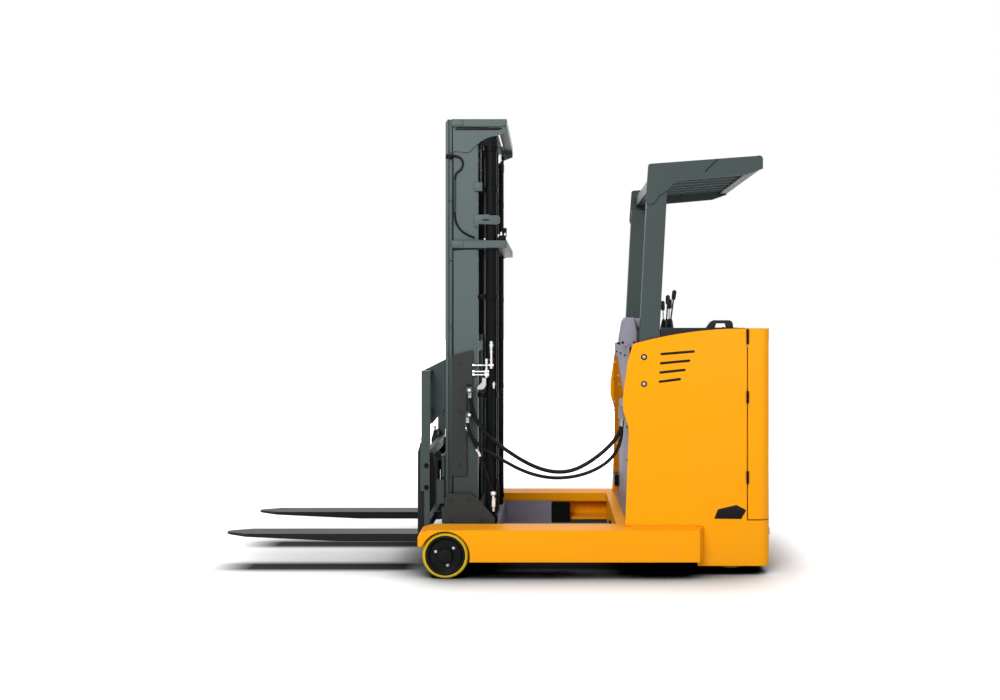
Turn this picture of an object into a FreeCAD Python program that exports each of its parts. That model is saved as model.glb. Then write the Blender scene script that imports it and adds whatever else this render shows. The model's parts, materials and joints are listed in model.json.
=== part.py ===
"""Stand-up reach truck, 2 tonne class, with a two-stage mast that reaches out between its legs.

+X runs forward over the forks, +Y to the operator's left and +Z up. The origin is on the floor, in the
middle of the truck's length and width. The mast stands reached out, as far forward as it goes.
"""

import FreeCAD, Part
import math
import os

import Sketcher

DOC = FreeCAD.newDocument("StandUpReachTruck")
Vector = FreeCAD.Vector

# ---------------------------------------------------------------- driving dimensions, millimetres

SIZES = {
    # the whole truck
    "leg_span": 1130,  # over both legs
    "wheel_base": 1568,  # load axle to drive axle
    "tail": 193,  # drive axle to the body's rear face
    "run_gap": 5,  # between two pieces that move past each other
    "pin_gap": 0.05,  # radial, between a shaft and its bore
    "seat_gap": 0.3,  # between a turning face and the face that carries it
    # forks
    "fork_length": 1085,  # blade, from the shank's front face to the tip
    "fork_width": 120,
    "fork_thickness": 42,
    "fork_tip_thickness": 12,
    "fork_taper": 640,  # length over which the blade thins to its tip
    "fork_tip_width": 50,
    "fork_underside": 145,
    "fork_centre": 270,  # from the middle of the truck to the middle of a fork
    "shank_thickness": 40,
    "shank_top": 685,
    # legs
    "load_distance": 181,  # load axle to the forks' front face
    "leg_width": 148,
    "leg_underside": 93,
    "leg_top": 264,
    "leg_nose": 145,  # from the load axle to the leg's front
    "leg_plate": 12,
    "leg_behind": 401,  # from the body's rear face to the end of a leg's rail
    "leg_end": 35,  # length of the sloped end behind the rail
    "rail_floor": 107,
    "rail_ceiling": 210,
    "rail_web": 60,  # outer face of the leg to the bottom of its rail
    "wheel_bay": 140,  # from the load axle back to the end of the rail
    "nose_plate": 20,
    "nose_roof": 7,
    "nose_lip": 176,  # underside of the plate in front of the load wheel
    # load wheels
    "load_wheel": 248,
    "load_wheel_width": 102,
    "load_rim": 212,
    "load_axle": 40,
    "wheel_arch": 266,
    # rear running gear
    "drive_wheel": 330,
    "drive_wheel_width": 135,
    "drive_rim": 250,
    "drive_axle": 60,
    "drive_inset": 185,  # from the body's side to the middle of the drive wheel
    "drive_motor": 190,
    "drive_motor_top": 760,
    "turntable": 250,
    "mount_plate_z": 430,
    "mount_plate": 20,
    "caster_inset": 180,  # from the body's side to the middle of the twin caster
    "caster_wheel": 178,
    "caster_tread": 52,
    "caster_rim": 130,
    "caster_trail": 45,
    "caster_axle": 30,
    "caster_pin": 40,
    "caster_plate_z": 205,
    # body
    "body_inset": 85,  # from a leg's outer face to the body's side
    "body_length": 805,
    "body_top": 1338,
    "skirt_bottom": 50,
    "skin": 6,
    "corner_radius": 60,
    "door_seam": 130,  # from the body's rear face to the door's hinge side
    "door_bottom": 302,
    "hinge_pin": 12,
    "bumper": 5,
    "bulkhead": 12,
    "bulkhead_back": 448,  # from the body's rear face to the operator's side of the bulkhead
    "centre_wall": 78,  # operator's side of the wall beside the drive unit
    "entry_post": 60,
    "wall_setback": 29,  # front wall behind the foremost edge of the side panels
    "console_depth": 113,
    "console_wall": 12,
    "deck_drop": 100,
    "battery_top": 900,
    "battery_length": 300,
    "cross_depth": 60,
    # guard
    "guard_height": 2278,
    "post_width": 107,
    "post_side": 50,
    "post_inset": 15,  # from the body's side to a post's outer face
    "post_front": 77,  # from the foremost edge of the side panels back to the post
    "post_bend": 1000,
    "post_lean": 58,
    "guard_plate": 8,
    "slat": 10,
    "slat_depth": 40,
    # mast
    "mast_top": 2500,
    "mast_bottom": 80,
    "mast_front": 161,  # from the mast's front flanges to the forks' front face
    "mast_depth": 178,
    "mast_inset": 23,  # from a carriage side plate to the mast's side
    "flange": 16,
    "flange_width": 70,
    "web": 12,
    "web_setback": 12,
    "inner_flange": 14,
    "inner_inset": 32,  # from the outer mast's side to the inner mast's
    "inner_web": 12,
    "inner_web_setback": 17,
    "inner_bottom": 160,
    "inner_top": 2480,
    "tie_height": 40,
    "tie_depth": 52,
    "tie_reach": 162,  # from the mast's rear flanges back to a tie's rear face
    "lower_tie_z": 1786,
    "cylinder_inset": 48,  # from the outer mast's side to a lift cylinder's middle
    "cylinder_behind": 72,  # from the mast's rear flanges back to the lift cylinders
    "cylinder": 65,
    "cylinder_top": 2380,
    "rod": 45,
    "pulley": 100,
    "pulley_inset": 53,  # from an inner flange's edge to the middle of a pulley
    "pulley_z": 2400,
    "pulley_x": 153,  # from the mast's front flanges back to the pulleys
    "pulley_width": 20,
    "pulley_pin": 20,
    "chain": 8,
    "chain_width": 16,
    "anchor_z": 320,
    # reach carriage
    "carriage_inset": 24,  # from a leg's inner face to the side plate's inner face
    "carriage_plate": 16,
    "carriage_bottom": 74,
    "carriage_top": 216,
    "carriage_length": 412,  # from the mast's rear flanges to the side plates' rear end
    "beam_depth": 112,
    "roller": 93,
    "roller_width": 60,
    "roller_spacing": 310,
    "slider_length": 120,
    "reach_barrel": 70,
    "reach_rod": 36,
    "reach_stroke": 550,
    "reach_z": 150,
    # lift carriage and fork frame
    "lift_inset": 98,  # from the inner mast's side to a lift side plate's inner face
    "lift_plate": 22,
    "lift_bottom": 180,
    "lift_top": 620,
    "lift_front": 30,  # from the mast's front flanges to the lift carriage's front face
    "lift_roller": 98,
    "frame_back": 91,  # from the mast's front flanges to the fork frame's bars
    "bar_thickness": 30,
    "frame_half": 352,
    "frame_side": 12,
    "tilt_pivot_x": 60,  # from the mast's front flanges
    "tilt_pivot_z": 255,
    "tilt_rod_z": 560,
    "tilt_pin": 30,
    "backrest_top": 1100,
    "backrest_peak": 1160,
    # hoses
    "hose": 19,
    "hose_junction": 843,
    "hose_clamp_low": 850,
    "hose_clamp_high": 985,
}


class Size:
    """A length: its number, and the sheet formula that a property is bound to."""

    def __init__(self, number, formula):
        self.number = number
        self.formula = formula

    def joined(self, sign, other, number):
        return Size(number, f"({self.formula} {sign} {size(other).formula})")

    def __add__(self, other):
        return self.joined("+", other, self.number + size(other).number)

    def __sub__(self, other):
        return self.joined("-", other, self.number - size(other).number)

    def __mul__(self, other):
        return self.joined("*", other, self.number * size(other).number)

    def __truediv__(self, other):
        return self.joined("/", other, self.number / size(other).number)

    def __radd__(self, other):
        return size(other) + self

    def __rsub__(self, other):
        return size(other) - self

    def __rmul__(self, other):
        return size(other) * self

    def __neg__(self):
        return self * -1


def size(value):
    """The value as a Size, whether it is one already or a plain number."""
    return value if isinstance(value, Size) else Size(float(value), repr(value))


class Sheet:
    """The document's spreadsheet of driving dimensions, read as attributes."""

    def __init__(self, sizes):
        cells = DOC.addObject("Spreadsheet::Sheet", "Sizes")
        for row, (alias, number) in enumerate(sizes.items(), 1):
            cells.set(f"A{row}", str(number))
            cells.setAlias(f"A{row}", alias)
            setattr(self, alias, Size(float(number), f"Sizes.{alias}"))


s = Sheet(SIZES)
DOC.recompute()
NODES = []

# ---------------------------------------------------------------- ways of making solids


def place(item, x, y, z):
    for axis, value in zip("xyz", (x, y, z)):
        item.setExpression(f"Placement.Base.{axis}", size(value).formula)


def box(x, y, z):
    """A box between the two ends given for each axis."""
    item = DOC.addObject("Part::Box", "Box")
    for side, (low, high) in zip(("Length", "Width", "Height"), (x, y, z)):
        item.setExpression(side, (size(high) - low).formula)
    place(item, x[0], y[0], z[0])
    return item


TURNS = {
    "x": FreeCAD.Rotation(Vector(0, 1, 0), 90),
    "y": FreeCAD.Rotation(Vector(1, 0, 0), -90),
    "z": FreeCAD.Rotation(),
}


def bar(axis, start, length, diameter):
    """A round bar that runs from start along an axis."""
    item = DOC.addObject("Part::Cylinder", "Bar")
    item.setExpression("Radius", (size(diameter) / 2).formula)
    item.setExpression("Height", size(length).formula)
    item.Placement = FreeCAD.Placement(Vector(), TURNS[axis])
    place(item, *start)
    return item


def cone(axis, start, length, first, last):
    """A frustum along an axis, from its first diameter to its last."""
    item = DOC.addObject("Part::Cone", "Cone")
    item.setExpression("Radius1", (size(first) / 2).formula)
    item.setExpression("Radius2", (size(last) / 2).formula)
    item.setExpression("Height", size(length).formula)
    item.Placement = FreeCAD.Placement(Vector(), TURNS[axis])
    place(item, *start)
    return item


def fuse(*items):
    item = DOC.addObject("Part::MultiFuse", "Fuse")
    item.Shapes = list(items)
    item.Refine = True
    return item


def cut(base, *tools):
    item = DOC.addObject("Part::Cut", "Cut")
    item.Base = base
    item.Tool = tools[0] if len(tools) == 1 else fuse(*tools)
    item.Refine = True
    return item


def common(first, second):
    item = DOC.addObject("Part::Common", "Common")
    item.Base, item.Tool = first, second
    item.Refine = True
    return item


class Arc:
    """A corner of an outline that is reached over an arc, its rise to the left of the way there."""

    def __init__(self, point, rise):
        self.point = point
        self.rise = size(rise)


def draw_loop(sketch, loop):
    """Draws a closed outline in a sketch, each corner held at its formulas."""
    corners = [[size(c) for c in (p.point if isinstance(p, Arc) else p)] for p in loop]
    ends = []
    for i, corner in enumerate(corners):
        goal = loop[(i + 1) % len(loop)]
        after = corners[(i + 1) % len(loop)]
        start = Vector(corner[0].number, corner[1].number, 0)
        finish = Vector(after[0].number, after[1].number, 0)
        if isinstance(goal, Arc):
            rise, way = goal.rise, finish - start
            middle = (start + finish) / 2 + Vector(-way.y, way.x, 0).normalize() * rise.number
            edge = sketch.addGeometry(Part.Arc(start, middle, finish), False)
            across, up = after[0] - corner[0], after[1] - corner[1]
            radius = ((across * across + up * up) / 4 + rise * rise) / (rise * 2)
            if rise.number < 0:
                radius = -radius
            held = sketch.addConstraint(Sketcher.Constraint("Radius", edge, radius.number))
            sketch.setExpression(f"Constraints[{held}]", radius.formula)
            ends.append((edge, 2, 1) if rise.number > 0 else (edge, 1, 2))
        else:
            edge = sketch.addGeometry(Part.LineSegment(start, finish), False)
            ends.append((edge, 1, 2))
    for i, (edge, first, last) in enumerate(ends):
        following = ends[(i + 1) % len(ends)]
        sketch.addConstraint(Sketcher.Constraint("Coincident", edge, last, following[0], following[1]))
        for kind, value in zip(("DistanceX", "DistanceY"), corners[i]):
            held = sketch.addConstraint(Sketcher.Constraint(kind, -1, 1, edge, first, value.number))
            sketch.setExpression(f"Constraints[{held}]", value.formula)


def draw_circle(sketch, centre, diameter):
    centre, diameter = [size(c) for c in centre], size(diameter)
    circle = Part.Circle(Vector(centre[0].number, centre[1].number, 0), Vector(0, 0, 1), diameter.number / 2)
    edge = sketch.addGeometry(circle, False)
    for kind, value in zip(("DistanceX", "DistanceY"), centre):
        held = sketch.addConstraint(Sketcher.Constraint(kind, -1, 1, edge, 3, value.number))
        sketch.setExpression(f"Constraints[{held}]", value.formula)
    held = sketch.addConstraint(Sketcher.Constraint("Diameter", edge, diameter.number))
    sketch.setExpression(f"Constraints[{held}]", diameter.formula)


def plate(plane, across, *loops, circles=()):
    """A body padded from an outline on a base plane, between two places across that plane.

    The first loop is the outside and the others are cut-outs. A plane is XZ, YZ or XY, and its outline's
    corners are pairs along those two axes.
    """
    body = DOC.addObject("PartDesign::Body", "Body")
    base = next(f for f in body.Origin.OriginFeatures if f.Role == f"{plane}_Plane")
    sketch = body.newObject("Sketcher::SketchObject", "Outline")
    sketch.AttachmentSupport = [(base, "")]
    sketch.MapMode = "FlatFace"
    low, high = size(across[0]), size(across[1])
    offset = -high if plane == "XZ" else low
    sketch.setExpression(".AttachmentOffset.Base.z", offset.formula)
    for loop in loops:
        draw_loop(sketch, loop)
    for centre, diameter in circles:
        draw_circle(sketch, centre, diameter)
    pad = body.newObject("PartDesign::Pad", "Pad")
    pad.Profile = sketch
    pad.setExpression("Length", (high - low).formula)
    return body


def both(side, low, high):
    """The span from low to high outward on one side of the truck, lowest Y first."""
    return (size(low), size(high)) if side > 0 else (-size(high), -size(low))


def outward(side, value):
    return size(value) if side > 0 else -size(value)


def sub_part(node, item):
    """Names a finished object as one of the truck's nodes."""
    item.Label = node
    NODES.append(item)
    return item


SIDES = {"left": 1, "right": -1}

# ---------------------------------------------------------------- places worked out from the sizes

overall_length = s.fork_length + s.load_distance + s.wheel_base + s.tail + s.bumper
fork_tip = overall_length / 2
fork_face = fork_tip - s.fork_length
load_axle_x = fork_face - s.load_distance
drive_axle_x = load_axle_x - s.wheel_base
body_rear = drive_axle_x - s.tail
body_front = body_rear + s.body_length
body_half = s.leg_span / 2 - s.body_inset
body_inside = body_half - s.skin
seam_x = body_rear + s.door_seam
bulkhead_rear = body_rear + s.bulkhead_back
bulkhead_front = bulkhead_rear + s.bulkhead
wall_front = body_front - s.wall_setback
wall_back = wall_front - s.skin
leg_outside = s.leg_span / 2
leg_inside = leg_outside - s.leg_width
leg_front = load_axle_x + s.leg_nose
rail_end = load_axle_x - s.wheel_bay
leg_back = body_rear + s.leg_behind
rail_bottom_y = leg_outside - s.rail_web
mast_face = fork_face - s.mast_front
mast_back = mast_face - s.mast_depth
carriage_side = leg_inside - s.carriage_inset
carriage_rear = mast_back - s.carriage_length
mast_half = carriage_side - s.mast_inset
web_outside = mast_half - s.web_setback
flange_inside = mast_half - s.flange_width
inner_half = mast_half - s.inner_inset
inner_flange_inside = inner_half - s.flange_width
pulley_offset = inner_flange_inside - s.pulley_inset
cylinder_offset = mast_half - s.cylinder_inset
lift_side = inner_half - s.lift_inset
drive_offset = body_half - s.drive_inset
caster_offset = body_half - s.caster_inset
post_outside = body_half - s.post_inset
post_inside = post_outside - s.post_side
post_face = body_front - s.post_front
console_bottom = s.body_top - s.console_depth
lift_face = mast_face + s.lift_front
floor_z = s.leg_top
floor_top = floor_z + s.bulkhead
support_z = floor_z - s.bulkhead
console_front = post_face - s.post_width - s.post_lean / 2
wall_top = s.body_top - 98
frame_back = mast_face + s.frame_back
frame_face = frame_back + s.bar_thickness
shank_back = fork_face - s.shank_thickness

# ---------------------------------------------------------------- legs and load wheels


def leg(side):
    """A leg: a rail for the reach carriage's rollers, and a nose that holds the load wheel."""
    span = both(side, leg_inside, leg_outside)
    out = [outward(side, v) for v in (leg_outside, rail_bottom_y, leg_inside)]
    wall = outward(side, leg_outside - s.leg_plate)
    hollow = outward(side, rail_bottom_y + s.leg_plate)
    rail = plate(
        "YZ",
        (leg_back, rail_end),
        [
            (out[0], s.leg_underside),
            (out[0], s.leg_top),
            (out[2], s.leg_top),
            (out[2], s.rail_ceiling),
            (out[1], s.rail_ceiling),
            (out[1], s.rail_floor),
            (out[2], s.rail_floor),
            (out[2], s.leg_underside),
        ],
        [
            (wall, s.rail_floor),
            (wall, s.leg_top - s.leg_plate),
            (hollow, s.leg_top - s.leg_plate),
            (hollow, s.rail_floor),
        ],
    )
    body_y = outward(side, body_half)
    end = plate(
        "XY",
        (s.leg_underside, s.leg_top),
        [(leg_back + 6, out[0]), (leg_back - s.leg_end, body_y), (leg_back + 6, body_y)],
    )
    roof_z = s.leg_top - s.nose_roof
    inner = plate(
        "XZ",
        both(side, leg_inside, leg_inside + s.nose_plate),
        [
            (rail_end, s.leg_underside),
            (leg_front - 45, s.leg_underside),
            (leg_front - 10, s.leg_underside + 30),
            (leg_front - 10, s.leg_top - 16),
            (leg_front - 60, roof_z),
            (rail_end, roof_z),
        ],
    )
    outer = cut(
        plate(
            "XZ",
            both(side, leg_outside - s.leg_plate, leg_outside),
            [
                (rail_end, s.leg_underside),
                (load_axle_x, s.leg_underside),
                (load_axle_x, s.nose_lip),
                (leg_front, s.nose_lip),
                (leg_front, s.leg_top - 36),
                (leg_front - 10, s.leg_top - 16),
                (leg_front - 60, roof_z),
                (rail_end, roof_z),
            ],
        ),
        bar("y", (load_axle_x, -leg_outside - 1, s.load_wheel / 2), s.leg_span + 2, s.wheel_arch),
    )
    front = box(
        (leg_front - s.leg_plate, leg_front),
        both(side, leg_inside + s.nose_plate, leg_outside - s.leg_plate),
        (s.nose_lip, s.leg_top - 40),
    )
    roof = plate(
        "XZ",
        span,
        [
            (rail_end, roof_z),
            (rail_end, s.leg_top),
            (leg_front - 62, s.leg_top),
            (leg_front - 10, s.leg_top - 14),
            (leg_front, s.leg_top - 36),
            (leg_front, s.leg_top - 52),
            (leg_front - 14, s.leg_top - 52),
            (leg_front - 24, s.leg_top - 26),
            (leg_front - 66, roof_z),
        ],
    )
    start = leg_inside + s.nose_plate
    long = s.load_wheel_width + 12
    axle = bar(
        "y",
        (load_axle_x, start if side > 0 else -start - long, s.load_wheel / 2),
        long,
        s.load_axle,
    )
    return fuse(rail, end, inner, outer, front, roof, axle)


def tyre(axis_point, low, width, outside, rim, shoulder):
    """A tyre about an axle along Y, with both shoulders chamfered."""
    x, z = axis_point
    narrow = size(outside) - 2 * size(shoulder)
    solid = fuse(
        cone("y", (x, low, z), shoulder, narrow, outside),
        bar("y", (x, size(low) + shoulder, z), size(width) - 2 * size(shoulder), outside),
        cone("y", (x, size(low) + width - shoulder, z), shoulder, outside, narrow),
    )
    return cut(solid, bar("y", (x, size(low) - 1, z), size(width) + 2, rim))


def load_wheel(side, name):
    axle = (load_axle_x, s.load_wheel / 2)
    low, _ = both(side, leg_inside + s.nose_plate + 10, leg_inside + s.nose_plate + 10 + s.load_wheel_width)
    sub_part(f"load_tyre_{name}", tyre(axle, low, s.load_wheel_width, s.load_wheel, s.load_rim, 8))
    inset = size(3)
    hub = cut(
        bar("y", (axle[0], low + inset, axle[1]), s.load_wheel_width - inset * 2, s.load_rim),
        bar("y", (axle[0], low - 1, axle[1]), s.load_wheel_width + 2, s.load_axle + s.pin_gap * 2),
    )
    sub_part(f"load_hub_{name}", hub)


for name, side in SIDES.items():
    sub_part(f"leg_{name}", leg(side))
    load_wheel(side, name)

# ---------------------------------------------------------------- frame behind the legs


def cross_members():
    """The members between the legs, open below for the reach carriage and bored for its cylinder."""
    front = (wall_front, wall_front + s.cross_depth)
    low_half = carriage_side - s.run_gap - 3
    ceiling = s.carriage_top + s.run_gap + 1
    bore_start = bulkhead_rear - s.cross_depth
    members = fuse(
        box(front, (-leg_inside, leg_inside), (ceiling, s.leg_top)),
        box(front, (-low_half, low_half), (s.leg_underside, ceiling)),
        box((bulkhead_front, wall_front), (-leg_inside, leg_inside), (s.leg_top - s.bulkhead, s.leg_top)),
        box((leg_back, bulkhead_front), (-leg_inside, leg_inside), (s.leg_underside, s.leg_top)),
    )
    return cut(members, bar("x", (bore_start, 0, s.reach_z), 1000, s.reach_barrel + s.seat_gap * 2))


def floor_plate(low, high):
    """A plate under the operator, with its rear right corner cut inside the panel's round corner."""
    rear, corner = body_rear + s.skin, s.corner_radius
    return plate(
        "XY",
        (low, high),
        [
            (rear, s.centre_wall),
            (rear, -body_half + corner),
            (body_rear + corner, -body_inside),
            (leg_back, -body_inside),
            (leg_back, s.centre_wall),
        ],
    )


def rear_frame():
    """Cross members, bulkhead, the wall beside the drive unit, its mounting plate and the caster's."""
    inside = body_inside
    rear = body_rear + s.skin
    wall = (s.centre_wall, s.centre_wall + s.bulkhead)
    mount = cut(
        box(
            (body_rear + s.corner_radius, bulkhead_rear),
            (wall[1], inside - s.run_gap),
            (s.mount_plate_z, s.mount_plate_z + s.mount_plate),
        ),
        bar("z", (drive_axle_x, drive_offset, s.mount_plate_z - 1), s.mount_plate + 2, s.drive_motor + 2),
    )
    caster = cut(
        box(
            (drive_axle_x - 100, drive_axle_x + 100),
            (-caster_offset - 100, -caster_offset + 100),
            (s.caster_plate_z, support_z),
        ),
        bar("z", (drive_axle_x, -caster_offset, s.caster_plate_z - 1), 60, s.caster_pin + s.pin_gap * 2),
    )
    return fuse(
        cross_members(),
        box((bulkhead_rear, bulkhead_front), (-inside, inside), (s.leg_top, console_bottom)),
        box((rear, bulkhead_rear), wall, (s.leg_underside, console_bottom)),
        mount,
        floor_plate(support_z, floor_z),
        box((bulkhead_rear - s.cross_depth, bulkhead_rear), (-leg_inside, wall[0]), (support_z, floor_z)),
        box((rear, rear + 20), (-body_half + s.corner_radius, wall[0]), (s.leg_underside, support_z)),
        caster,
    )


sub_part("rear_frame", rear_frame())

# ---------------------------------------------------------------- body panels


def panel_outline(rear):
    """The side panel's outline from its front edge to the given rear edge."""
    front, top = body_front, s.body_top
    return [
        (rear, s.skirt_bottom),
        (rear, top),
        Arc((front - 54, top - 84), 22),
        (front - 27, top - 171),
        (front, top - 361),
        (front, top - 442),
        (front - 30, top - 540),
        (front - 30, top - 605),
        (front - 11, s.leg_top),
        (leg_back, s.leg_top),
        (leg_back, s.skirt_bottom),
    ]


def corner_wrap(side, start_x, end_y, z, skin, corner):
    """A wall that runs back along the body's side, round its rear corner and in across the rear."""
    rear, outer = body_rear, outward(side, body_half)
    inner = outward(side, body_half - skin)
    tip = size(end_y)
    straight = outward(side, body_half - corner)
    rise = corner * 0.2929
    inner_corner = size(corner) - skin
    inner_rise = inner_corner * 0.2929
    sign = -1 if side > 0 else 1
    return plate(
        "XY",
        z,
        [
            (start_x, outer),
            (rear + corner, outer),
            Arc((rear, straight), rise * sign),
            (rear, tip),
            (rear + skin, tip),
            (rear + skin, straight),
            Arc((rear + corner, inner), inner_rise * -sign),
            (start_x, inner),
        ],
    )


def vent_slots():
    """Slanted cooling slots through the left side panel, each shorter than the one above."""
    slots = []
    for row in range(4):
        left = body_front - 209 + 3 * row
        low = s.body_top - 145 - 50 * row
        long = 174 - 22 * row
        slots.append(
            plate(
                "XZ",
                (body_half - s.skin - 1, body_half + 1),
                [(left, low), (left - long, low + 14), (left - long, low + 26), (left, low + 12)],
            )
        )
    return slots


def side_panels():
    skirt_z = (s.skirt_bottom, s.door_bottom - s.run_gap)
    left = fuse(
        cut(plate("XZ", (body_inside, body_half), panel_outline(seam_x + s.run_gap / 2)), *vent_slots()),
        corner_wrap(1, seam_x + s.run_gap / 2, 0, skirt_z, s.skin, s.corner_radius),
    )
    corner = body_rear + s.corner_radius + 20
    right = fuse(
        plate("XZ", (-body_half, -body_inside), panel_outline(corner)),
        corner_wrap(-1, corner, -body_half + s.entry_post + s.corner_radius, (s.skirt_bottom, s.body_top),
                    s.skin, s.corner_radius),
        corner_wrap(-1, corner, 0, (s.skirt_bottom, floor_top), s.skin, s.corner_radius),
    )
    sub_part("side_panel_left", left)
    sub_part("side_panel_right", right)


def rear_door():
    """The door round the rear left corner, closed at the top and hinged on its front edge."""
    front = seam_x - s.run_gap / 2
    end = s.centre_wall + s.bulkhead + s.run_gap
    shell = corner_wrap(1, front, end, (s.door_bottom, s.body_top), s.skin, s.corner_radius)
    lid = common(
        box((body_rear, front), (end, body_half), (s.body_top - s.skin, s.body_top)),
        plate(
            "XY",
            (s.body_top - s.skin, s.body_top),
            [
                (front, body_half),
                (body_rear + s.corner_radius, body_half),
                Arc((body_rear, body_half - s.corner_radius), s.corner_radius * -0.2929),
                (body_rear, end),
                (front, end),
            ],
        ),
    )
    return fuse(shell, lid)


def door_hinges():
    """Three hinge knuckles on the seam, on the outside of the panel."""
    y = body_half + s.seat_gap + s.hinge_pin / 2
    spans = ((84, 80), (404, 65), (841, 68))
    return fuse(*[bar("z", (seam_x, y, s.body_top - drop), long, s.hinge_pin) for drop, long in spans])


side_panels()
sub_part("rear_door", rear_door())
sub_part("door_hinges", door_hinges())


def front_wall():
    """The grey wall that faces the mast, the lid over the battery behind it and the hoses' junction."""
    wall = box((wall_back, wall_front), (-body_inside, body_inside), (s.leg_top, wall_top))
    half = post_inside - s.run_gap
    lid = box((console_front + s.seat_gap, wall_back), (-half, half), (wall_top - s.skin, wall_top))
    junction = box((wall_front, wall_front + 45), (370, 440), (s.hose_junction, s.hose_junction + 62))
    return fuse(wall, lid, junction)


def valve_cover():
    """The grey cover over the valves, on top of the front wall, with a round solenoid behind it."""
    top = s.body_top + 60
    low = wall_top
    cover = plate(
        "XZ",
        (240, 400),
        [
            (wall_front + 36, low),
            (wall_front + 36, low + 30),
            (wall_front + 18, top - 22),
            (wall_front + 4, top),
            (wall_front - 36, top),
            (wall_front - 52, top - 70),
            (wall_front - 52, low),
        ],
    )
    return fuse(cover, bar("x", (wall_front - 82, 320, top - 38), 60, 70))


sub_part("front_wall", front_wall())
sub_part("valve_cover", valve_cover())
sub_part(
    "rubber_buffers",
    fuse(
        box((wall_front, wall_front + 28), (-260, -140), (365, 430)),
        box((body_rear - s.bumper, body_rear), (-body_half + 60, body_half - 60), (205, 245)),
    ),
)
sub_part(
    "battery",
    box(
        (wall_back - s.seat_gap - s.battery_length, wall_back - s.seat_gap),
        (-post_inside + s.run_gap, post_inside - s.run_gap),
        (s.leg_top, s.battery_top),
    ),
)

# ---------------------------------------------------------------- operator's place


def dashboard():
    """The black console across the front and back along the left, with the steering post."""
    front_x = console_front
    rear = seam_x + s.run_gap / 2
    wall = s.console_wall
    inside = body_inside
    left_y = s.centre_wall
    low, top = console_bottom, s.body_top
    front_top = top - 16
    outer = fuse(
        box((bulkhead_rear, front_x), (-inside, inside), (low, front_top)),
        box((rear, bulkhead_rear), (left_y, inside), (low, top)),
    )
    hollow = fuse(
        box((bulkhead_rear + wall, front_x - wall), (-inside + wall, inside - wall), (low - 1, front_top - wall)),
        box((rear + wall, bulkhead_rear + wall + 1), (left_y + wall, inside - wall),
            (low - 1, top - s.deck_drop - wall)),
    )
    deck = box((seam_x + 25, bulkhead_rear - 20), (left_y - 1, inside - 100), (top - s.deck_drop, top + 1))
    column = bar("z", (steering_x, steering_y, top - s.deck_drop), wheel_drop - s.seat_gap, 44)
    return fuse(cut(outer, hollow, deck), column)


def grab_handle():
    """A handle that arches over the console's left edge."""
    top = s.body_top
    return plate(
        "XZ",
        (body_inside - 70, body_inside - 45),
        [
            (seam_x + 65, top),
            (seam_x + 68, top + 22),
            Arc((seam_x + 92, top + 45), 7),
            (seam_x + 172, top + 45),
            (seam_x + 190, top + 36),
            (seam_x + 216, top),
            (seam_x + 168, top),
            (seam_x + 160, top + 27),
            (seam_x + 108, top + 27),
            (seam_x + 102, top),
        ],
    )


def control_levers():
    """Four levers with their boots, leaning back towards the operator."""
    x = bulkhead_rear + 35
    z = s.body_top - 16
    parts = []
    for index in range(4):
        y = 20 - 75 * index
        high = 130 + 50 * (index % 2)
        parts.append(cone("z", (x, y, z), 50, 52, 24))
        lean = 30 * (index % 2)
        parts.append(
            plate(
                "XZ",
                (y - 6, y + 6),
                [(x - 6, z + 45), (x + 6, z + 45), (x + 6 - lean, z + high), (x - 6 - lean, z + high)],
            )
        )
        parts.append(bar("z", (x - lean, y, z + high), 60, 28))
    return fuse(*parts)


def steering_wheel():
    """A ring with three spokes on a hub, above the console's deck."""
    x, y = steering_x, steering_y
    z = s.body_top - s.deck_drop + wheel_drop + 30
    ring = DOC.addObject("Part::Torus", "Rim")
    ring.Radius1, ring.Radius2 = 105, 12
    place(ring, x, y, z)
    spokes = []
    for index in range(3):
        spoke = DOC.addObject("Part::Box", "Spoke")
        spoke.Length, spoke.Width, spoke.Height = 98, 20, 8
        turn = FreeCAD.Rotation(Vector(0, 0, 1), 60 + 120 * index)
        spoke.Placement = FreeCAD.Placement(Vector(), turn)
        shift = turn.multVec(Vector(0, -10, 0))
        place(spoke, x + round(shift.x, 6), y + round(shift.y, 6), z - 4)
        spokes.append(spoke)
    return fuse(ring, *spokes, bar("z", (x, y, s.body_top - s.deck_drop + wheel_drop), 45, 52))


steering_x = seam_x + 155
steering_y = size(235)
wheel_drop = size(32)

sub_part("dashboard", dashboard())
sub_part("grab_handle", grab_handle())
sub_part("control_levers", control_levers())
sub_part("steering_wheel", steering_wheel())


def operator_floor():
    """The floor plate, with the brake pedal standing on it."""
    deck = box((leg_back, bulkhead_rear), (-body_inside, s.centre_wall), (floor_z, floor_top))
    pedal = box((bulkhead_rear - 230, bulkhead_rear - 100), (-150, -40), (floor_top, floor_top + 22))
    return fuse(floor_plate(floor_z, floor_top), deck, pedal)


sub_part("operator_floor", operator_floor())
sub_part(
    "back_pad",
    box((bulkhead_rear - 330, bulkhead_rear - 60), (-body_inside + s.seat_gap, -body_inside + 45), (780, 1180)),
)

# ---------------------------------------------------------------- overhead guard


def guard_post(side):
    """A post that stands on the leg, straight at first and then leaning back."""
    width, lean = s.post_width, s.post_lean
    top = s.guard_height - 178
    return plate(
        "XZ",
        both(side, post_outside - s.post_side, post_outside),
        [
            (post_face, s.leg_top),
            (post_face, s.post_bend),
            (post_face - lean, top),
            (post_face - lean - width, top),
            (post_face - width, s.post_bend),
            (post_face - width, s.leg_top),
        ],
    )


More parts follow.
